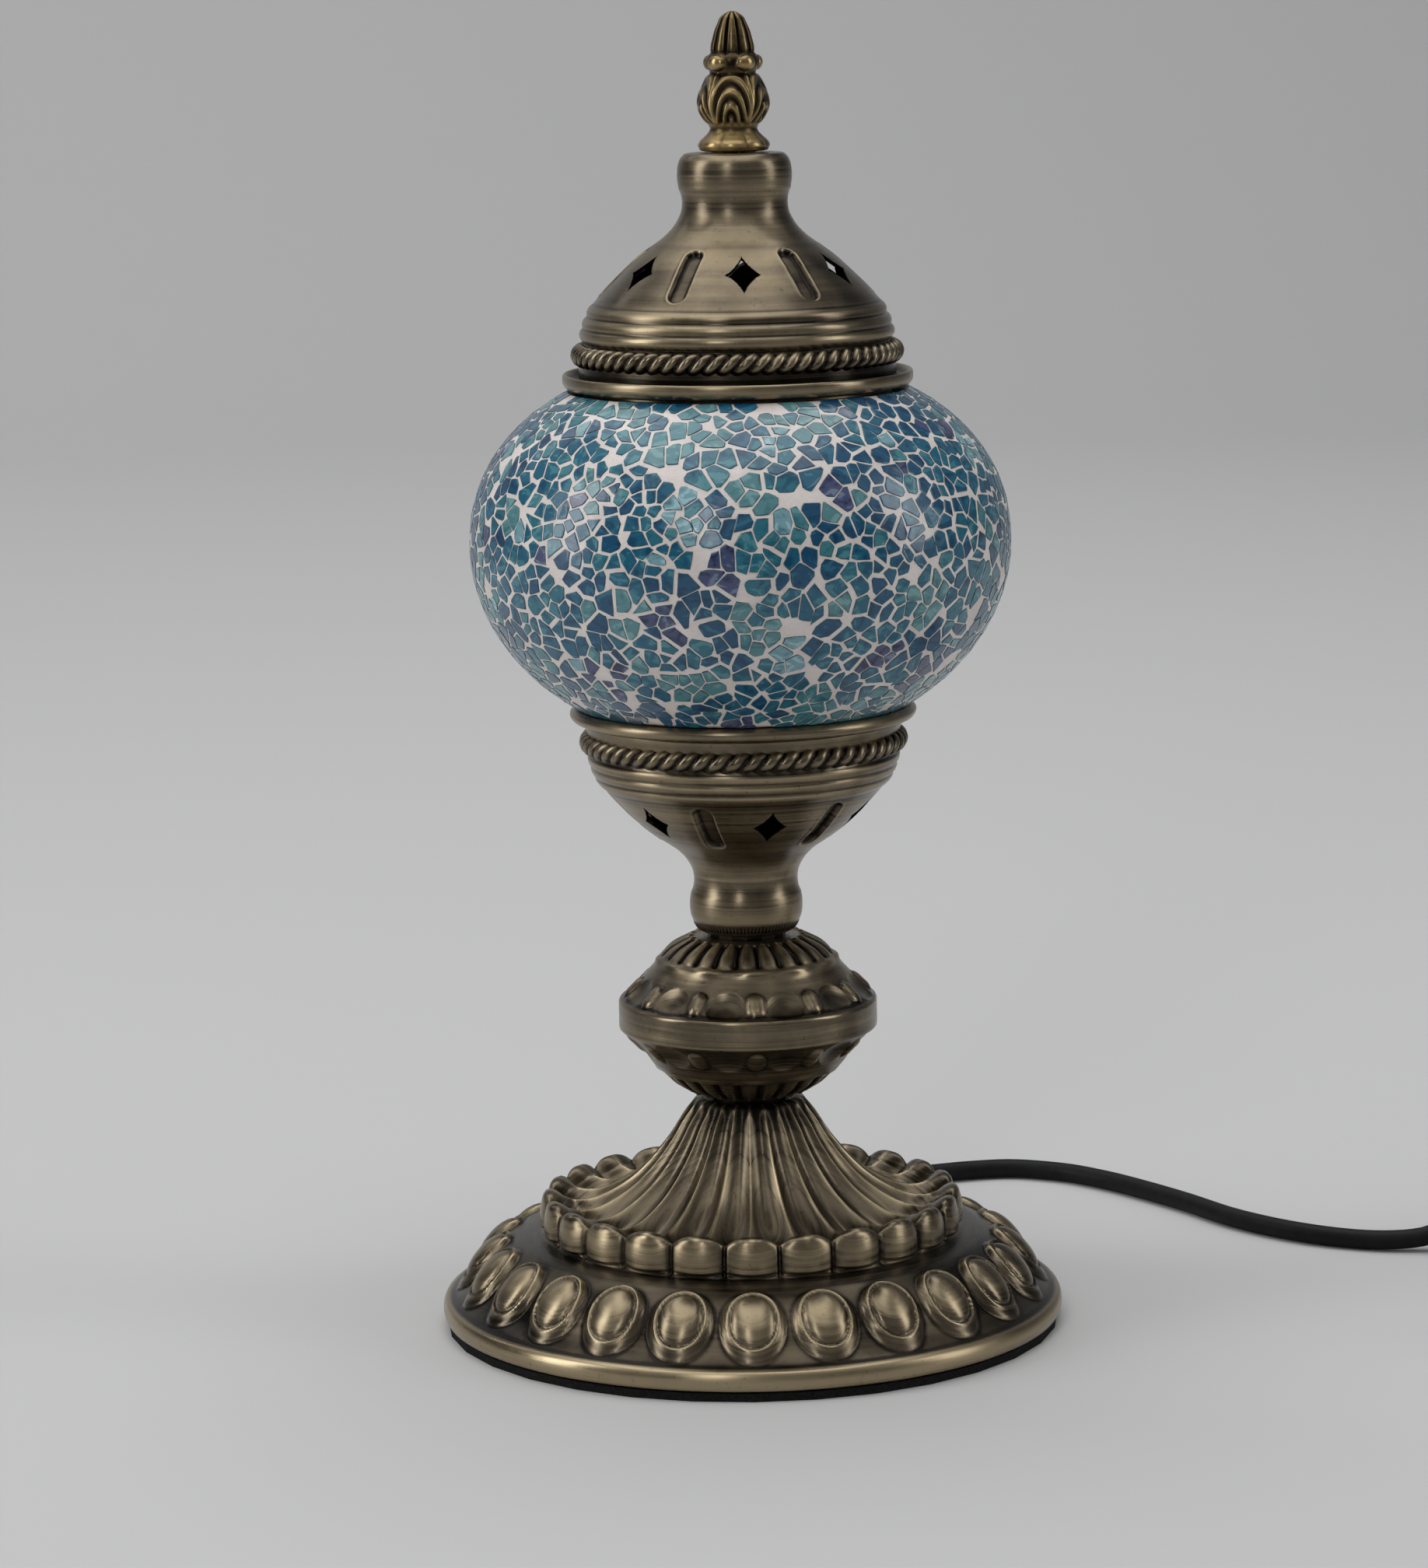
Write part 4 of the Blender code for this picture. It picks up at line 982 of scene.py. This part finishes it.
def ragged(outline, normal, rng):
    """A broken edge: each longer side gets a middle point a little off the straight line."""
    points = []
    for a, b in zip(outline, outline[1:] + outline[:1]):
        points.append(a)
        length = (b - a).length
        if length > RAGGED_FROM:
            stray = rng.uniform(-0.5, 1.0) * min(RAGGED, length * 0.08)
            middle = a.lerp(b, rng.uniform(0.35, 0.65))
            points.append(middle + (b - a).cross(normal).normalized() * stray)
    return points


def make_chips(rng):
    """Pieces of glass cracked into shards, the cracks opened up and filled with grout."""
    low, high = GLOBE_FOOT + 0.3, GLOBE_TOP - 0.2
    weights = [row[4] for row in CHIP_LOOKS]
    pieces = scatter(rng, PIECE_SPACING, low, high)
    tones = [rng.choices(range(len(CHIP_LOOKS)), weights)[0] for _ in pieces]
    piece_tree = kd_tree(pieces)
    seeds = [place for place in scatter(rng, SHARD_SPACING, low, high) if rng.random() < SHARDS_KEPT]
    owner = [piece_tree.find(place)[1] for place in seeds]
    tree = kd_tree(seeds)
    lines = {}
    verts = []
    faces = []
    used = []
    for k in range(len(seeds)):
        outline, normal = laid_shard(k, seeds, owner, lines, tree, rng)
        shard = tidy_outline(outline)
        if len(shard) < 3 or outline_area(shard, normal) < SHARD_AREA or rng.random() < SHARDS_LOST:
            continue
        shard = ragged(shard, normal, rng)
        shard = [Vector((p.x, p.y, min(max(p.z, GLOBE_FOOT), GLOBE_TOP))) for p in shard]
        tone = tones[owner[k]]
        if rng.random() >= TONE_KEPT:
            tone = rng.choices(range(len(CHIP_LOOKS)), weights)[0]
        add_chip(verts, faces, used, shard, normal, tone, rng)
    mesh = mesh_from("mosaic_chips", verts, faces, smooth=False)
    mesh.polygons.foreach_set("material_index", used)
    palette = [chip_look(*row[:4]) for row in CHIP_LOOKS] + [chip_edge_look()]
    add_piece("mosaic_chips", mesh, "lamp", palette, ["globe_mosaic"])


def kd_tree(points):
    tree = KDTree(len(points))
    for k, place in enumerate(points):
        tree.insert(place, k)
    tree.balance()
    return tree


def tidy_outline(points):
    """Drops points that lie closer than a fifth of a millimetre to the one before."""
    kept = []
    for point in points:
        if not kept or (point - kept[-1]).length > 0.2:
            kept.append(point)
    if len(kept) > 1 and (kept[0] - kept[-1]).length < 0.2:
        kept.pop()
    return kept


def outline_area(points, normal):
    total = Vector()
    for a, b in zip(points, points[1:] + points[:1]):
        total += a.cross(b)
    return abs(total.dot(normal)) / 2


def add_chip(verts, faces, used, chip, normal, look, rng):
    """A shard: dark side wall, sloping rim and top face, its corners laid down on the globe.

    used gets the number of each face's material: the shard's own look, or the last for dark glass.
    """
    middle = sum(chip, Vector()) / len(chip)
    rings = ((0.0, -CHIP_THICK), (0.0, CHIP_PROUD - 0.12), (0.10, CHIP_PROUD - 0.02), (0.26, CHIP_PROUD))
    start = len(verts)
    count = len(chip)
    lean = Vector([rng.uniform(-0.02, 0.02) for _ in range(3)])
    for inset, level in rings:
        for point in chip:
            inward = middle - point
            moved = point + inward * min(0.5, inset / max(inward.length, 0.1))
            reach = globe_radius(moved.z)
            flat = math.hypot(moved.x, moved.y)
            hugged = Vector((moved.x * reach / flat, moved.y * reach / flat, moved.z))
            verts.append((hugged + normal * (level + (moved - middle).dot(lean))) * MM)
    for ring in range(len(rings) - 1):
        for j in range(count):
            a = start + ring * count + j
            b = start + ring * count + (j + 1) % count
            faces.append((a, b, b + count, a + count))
            used.append(len(CHIP_LOOKS) if ring < 2 or rng.random() < DARK_RIM else look)
    faces.append([start + (len(rings) - 1) * count + j for j in range(count)])
    used.append(look)


def make_globe(looks):
    make_chips(random.Random(MOSAIC_SEED))
    grid = globe_shell(0.12, 2.0, 60, 420, 0.9)
    waves = np.sin(grid.turn * 53 + grid.height * 0.9) * np.sin(grid.turn * 31 - grid.height * 1.3)
    add_piece("grout", lathe("grout", grid, 0.05 * waves), "lamp", looks["grout"])
    glass = lathe("globe_glass_skin", globe_shell(2.3, 4.8, 40, 192, 1.4))
    add_skin(glass, "lamp", looks, "globe_glass", "globe_glass")


# ---- cords

CORD_DIAMETER = 0.005
LEAD_TO_SWITCH = [
    (0.01157, 0.08785, 0.0112), (0.01215, 0.0923, 0.0112), (0.0132, 0.0980, 0.0095),
    (0.0152, 0.1040, 0.0061), (0.0188, 0.1110, 0.0037), (0.0250, 0.1180, 0.0028),
    (0.0335, 0.1243, 0.0027), (0.0420, 0.1288, 0.0027), (0.0510, 0.1325, 0.0027),
    (0.0615, 0.1357, 0.0027), (0.0725, 0.1365, 0.0027), (0.0856, 0.1310, 0.0027),
    (0.0950, 0.1228, 0.0027), (0.1030, 0.1135, 0.0027), (0.1150, 0.0970, 0.0027),
    (0.1275, 0.0775, 0.0027), (0.1430, 0.0622, 0.0027), (0.1590, 0.0540, 0.0027),
    (0.1720, 0.0521, 0.0037), (0.1800, 0.0524, 0.0070), (0.1860, 0.0525, 0.0084),
    (0.1915, 0.0525, 0.0085),
]
LEAD_TO_COIL = [
    (0.2525, 0.0525, 0.0085), (0.2600, 0.0525, 0.0085), (0.2680, 0.0520, 0.0068),
    (0.2760, 0.0503, 0.0048), (0.2845, 0.0463, 0.0043), (0.2920, 0.0405, 0.0043),
    (0.2980, 0.0330, 0.0043), (0.3020, 0.0250, 0.0043), (0.3035, 0.0190, 0.0043),
]
PLUG_TAIL = [
    (0.2540, -0.0335, 0.0046), (0.2480, -0.0353, 0.0048), (0.2410, -0.0366, 0.0056),
    (0.2350, -0.0370, 0.0068), (0.2282, -0.0370, 0.0070),
]
COIL_MIDDLE = (0.268, 0.003)       # metres; the radii, the levels and the way out are in mm
COIL_RADII = {"outer": 33.0, "middle": 28.0, "inner": 23.0}
COIL_LEVELS = {"low": 4.2, "mid": 9.2, "high": 14.2}
COIL_ORDER = [
    ("outer", "low"), ("middle", "low"), ("inner", "low"), ("inner", "mid"), ("inner", "high"),
    ("middle", "high"), ("middle", "mid"), ("outer", "mid"), ("outer", "high"),
]
COIL_ENTRY = 24.2                  # degrees, where the cord meets the coil
COIL_TURN = 330.0                  # degrees from one change of place to the next
COIL_CHANGE = 75.0                 # degrees over which the cord changes place
COIL_START = 20.0
COIL_END = 2940.0
COIL_STEP = 15.0
COIL_WAY_OUT = [(2958.0, 34.6, 14.0), (2978.0, 37.2, 11.6), (2998.0, 38.8, 7.6)]
CORD_STEP = 0.0025


def coil_points():
    """Turns laid beside and on each other, each moving over to the next place near its end."""
    points = []
    turn = COIL_START
    while turn < COIL_END:
        lap = min(int(turn // COIL_TURN), len(COIL_ORDER) - 1)
        here, level = COIL_ORDER[lap]
        radius, height = COIL_RADII[here], COIL_LEVELS[level]
        left = (lap + 1) * COIL_TURN - turn
        if lap < len(COIL_ORDER) - 1 and left < COIL_CHANGE:
            share = float(step_up(COIL_CHANGE - left, 0.0, COIL_CHANGE))
            there, next_level = COIL_ORDER[lap + 1]
            radius += (COIL_RADII[there] - radius) * share
            height += (COIL_LEVELS[next_level] - height) * share
        points.append(coil_point(turn, radius, height))
        turn += COIL_STEP
    return points + [coil_point(*place) for place in COIL_WAY_OUT]


def coil_point(turn, radius, height):
    """A point of the coil, m, from its turn in degrees and its place in mm."""
    angle = math.radians(COIL_ENTRY - turn)
    x = COIL_MIDDLE[0] + radius * MM * math.cos(angle)
    y = COIL_MIDDLE[1] + radius * MM * math.sin(angle)
    return (x, y, height * MM)


def cord_piece(name, route, looks, replaced):
    """A round cord along a route, and its length."""
    fine = curve_through(route, CORD_STEP)
    curve = bpy.data.curves.new(name, "CURVE")
    curve.dimensions = "3D"
    curve.bevel_depth = CORD_DIAMETER / 2
    curve.bevel_resolution = 5
    curve.use_fill_caps = True
    spline = curve.splines.new("POLY")
    spline.points.add(len(fine) - 1)
    for point, place in zip(spline.points, fine):
        point.co = (*place, 1.0)
    spline.use_smooth = True
    piece = add_piece(name, curve, "lamp", looks["black_cord"], replaced)
    length = float(np.linalg.norm(np.diff(fine, axis=0), axis=1).sum())
    return piece, length


def make_cords(looks):
    first, length = cord_piece("flex_to_switch", LEAD_TO_SWITCH, looks, ["lead_to_switch"])
    route = LEAD_TO_COIL + coil_points() + PLUG_TAIL
    replaced = ["lead_to_coil", "cord_coil", "plug_tail"]
    second, length_2 = cord_piece("flex_to_plug", route, looks, replaced)


# ---- carried-over nodes

def dress_nodes(looks):
    """Gives each CAD node that stays in view the look of its material slot."""
    by_node = {
        "black_foam": "base_pad",
        "cast_iron": "base_weight",
        "steel": "stem_washer stem_nut stem_tube cup_washer cup_nut finial_stud finial_washer "
                 "finial_nut switch_screw_1 switch_screw_2",
        "antique_brass": "lower_spacer upper_spacer",
        "golden_brass": "finial_spacer",
        "phenolic": "lampholder_entry_cap lampholder_sleeve lampholder_insulator bulb_insulator",
        "bright_brass": "lampholder_contact lampholder_screw_shell switch_contacts plug_pin_1 plug_pin_2",
        "nickel": "bulb_contact bulb_screw_cap",
        "bulb_glass": "bulb_glass",
        "tungsten": "bulb_filament",
        "black_plastic": "cord_strain_relief switch_base switch_cover switch_rocker coil_tie plug_body",
        "black_cord": "inner_cord",
    }
    for slot, names in by_node.items():
        for name in names.split():
            mesh = NODES[name].data
            mesh.materials.clear()
            mesh.materials.append(looks[slot])


# ---- stage and light

FLOOR_FRONT = -12.0
FLOOR_BACK = 3.4
FLOOR_WIDE = 9.0
SWEEP_RADIUS = 1.2
SWEEP_STEPS = 12
WALL_TOP = 4.5


def make_stage():
    """A seamless sweep: floor, a quarter round and a wall."""
    foot = FLOOR_BACK - SWEEP_RADIUS
    line = [(FLOOR_FRONT, 0.0), (foot, 0.0)]
    for k in range(1, SWEEP_STEPS + 1):
        angle = math.pi / 2 * k / SWEEP_STEPS
        line.append((foot + SWEEP_RADIUS * math.sin(angle), SWEEP_RADIUS * (1.0 - math.cos(angle))))
    line.append((FLOOR_BACK, WALL_TOP))
    verts = []
    for y, z in line:
        verts.append((-FLOOR_WIDE, y, z))
        verts.append((FLOOR_WIDE, y, z))
    faces = [(2 * k, 2 * k + 1, 2 * k + 3, 2 * k + 2) for k in range(len(line) - 1)]
    mesh = mesh_from("sweep", verts, faces)
    sweep = bpy.data.objects.new("sweep", mesh)
    bpy.context.scene.collection.objects.link(sweep)
    look = Look("sweep_look")
    look.set(Base_Color=(0.55, 0.55, 0.55, 1.0), Roughness=0.85)
    mesh.materials.append(look.material)


def area_light(name, place, aim, size, power):
    data = bpy.data.lights.new(name, "AREA")
    data.shape = "RECTANGLE"
    data.size, data.size_y = size
    data.energy = power
    light = bpy.data.objects.new(name, data)
    bpy.context.scene.collection.objects.link(light)
    place = Vector(place)
    light.location = place
    light.rotation_euler = (Vector(aim) - place).to_track_quat("-Z", "Y").to_euler()


def make_world():
    """A dim room: dark low down, brighter overhead."""
    world = bpy.data.worlds.new("world")
    bpy.context.scene.world = world
    world.use_nodes = True
    tree = world.node_tree
    coords = tree.nodes.new("ShaderNodeTexCoord")
    parts = tree.nodes.new("ShaderNodeSeparateXYZ")
    ramp = tree.nodes.new("ShaderNodeValToRGB")
    back = tree.nodes["Background"]
    tree.links.new(coords.outputs["Generated"], parts.inputs[0])
    tree.links.new(parts.outputs["Z"], ramp.inputs["Fac"])
    tree.links.new(ramp.outputs["Color"], back.inputs["Color"])
    low, high = ramp.color_ramp.elements
    low.position, low.color = 0.0, (0.05, 0.05, 0.052, 1.0)
    high.position, high.color = 0.75, (0.55, 0.55, 0.56, 1.0)
    back.inputs["Strength"].default_value = 0.6


def make_light():
    area_light("left_box", (-1.5, -0.35, 0.75), (0.0, 0.0, 0.15), (0.5, 1.3), 9.5)
    area_light("right_box", (1.5, -0.3, 0.75), (0.0, 0.0, 0.15), (0.45, 1.2), 5.5)
    area_light("top_box", (-0.1, 0.1, 1.7), (0.0, 0.1, 0.0), (1.8, 1.6), 15.0)
    area_light("front_strip", (-0.45, -1.6, 1.0), (0.0, 0.0, 0.12), (0.22, 0.9), 4.2)
    area_light("wall_box", (-1.1, 1.7, 2.1), (-0.6, 3.2, 0.3), (4.0, 0.8), 26.0)
    bpy.context.scene.view_settings.view_transform = "Standard"


make_camera()
LOOKS = make_looks()
make_cords(LOOKS)
make_base(LOOKS)
make_baluster(LOOKS)
make_cup(LOOKS)
make_rings(LOOKS)
make_globe(LOOKS)
make_cap(LOOKS)
make_finial(LOOKS)
dress_nodes(LOOKS)
make_stage()
make_world()
make_light()
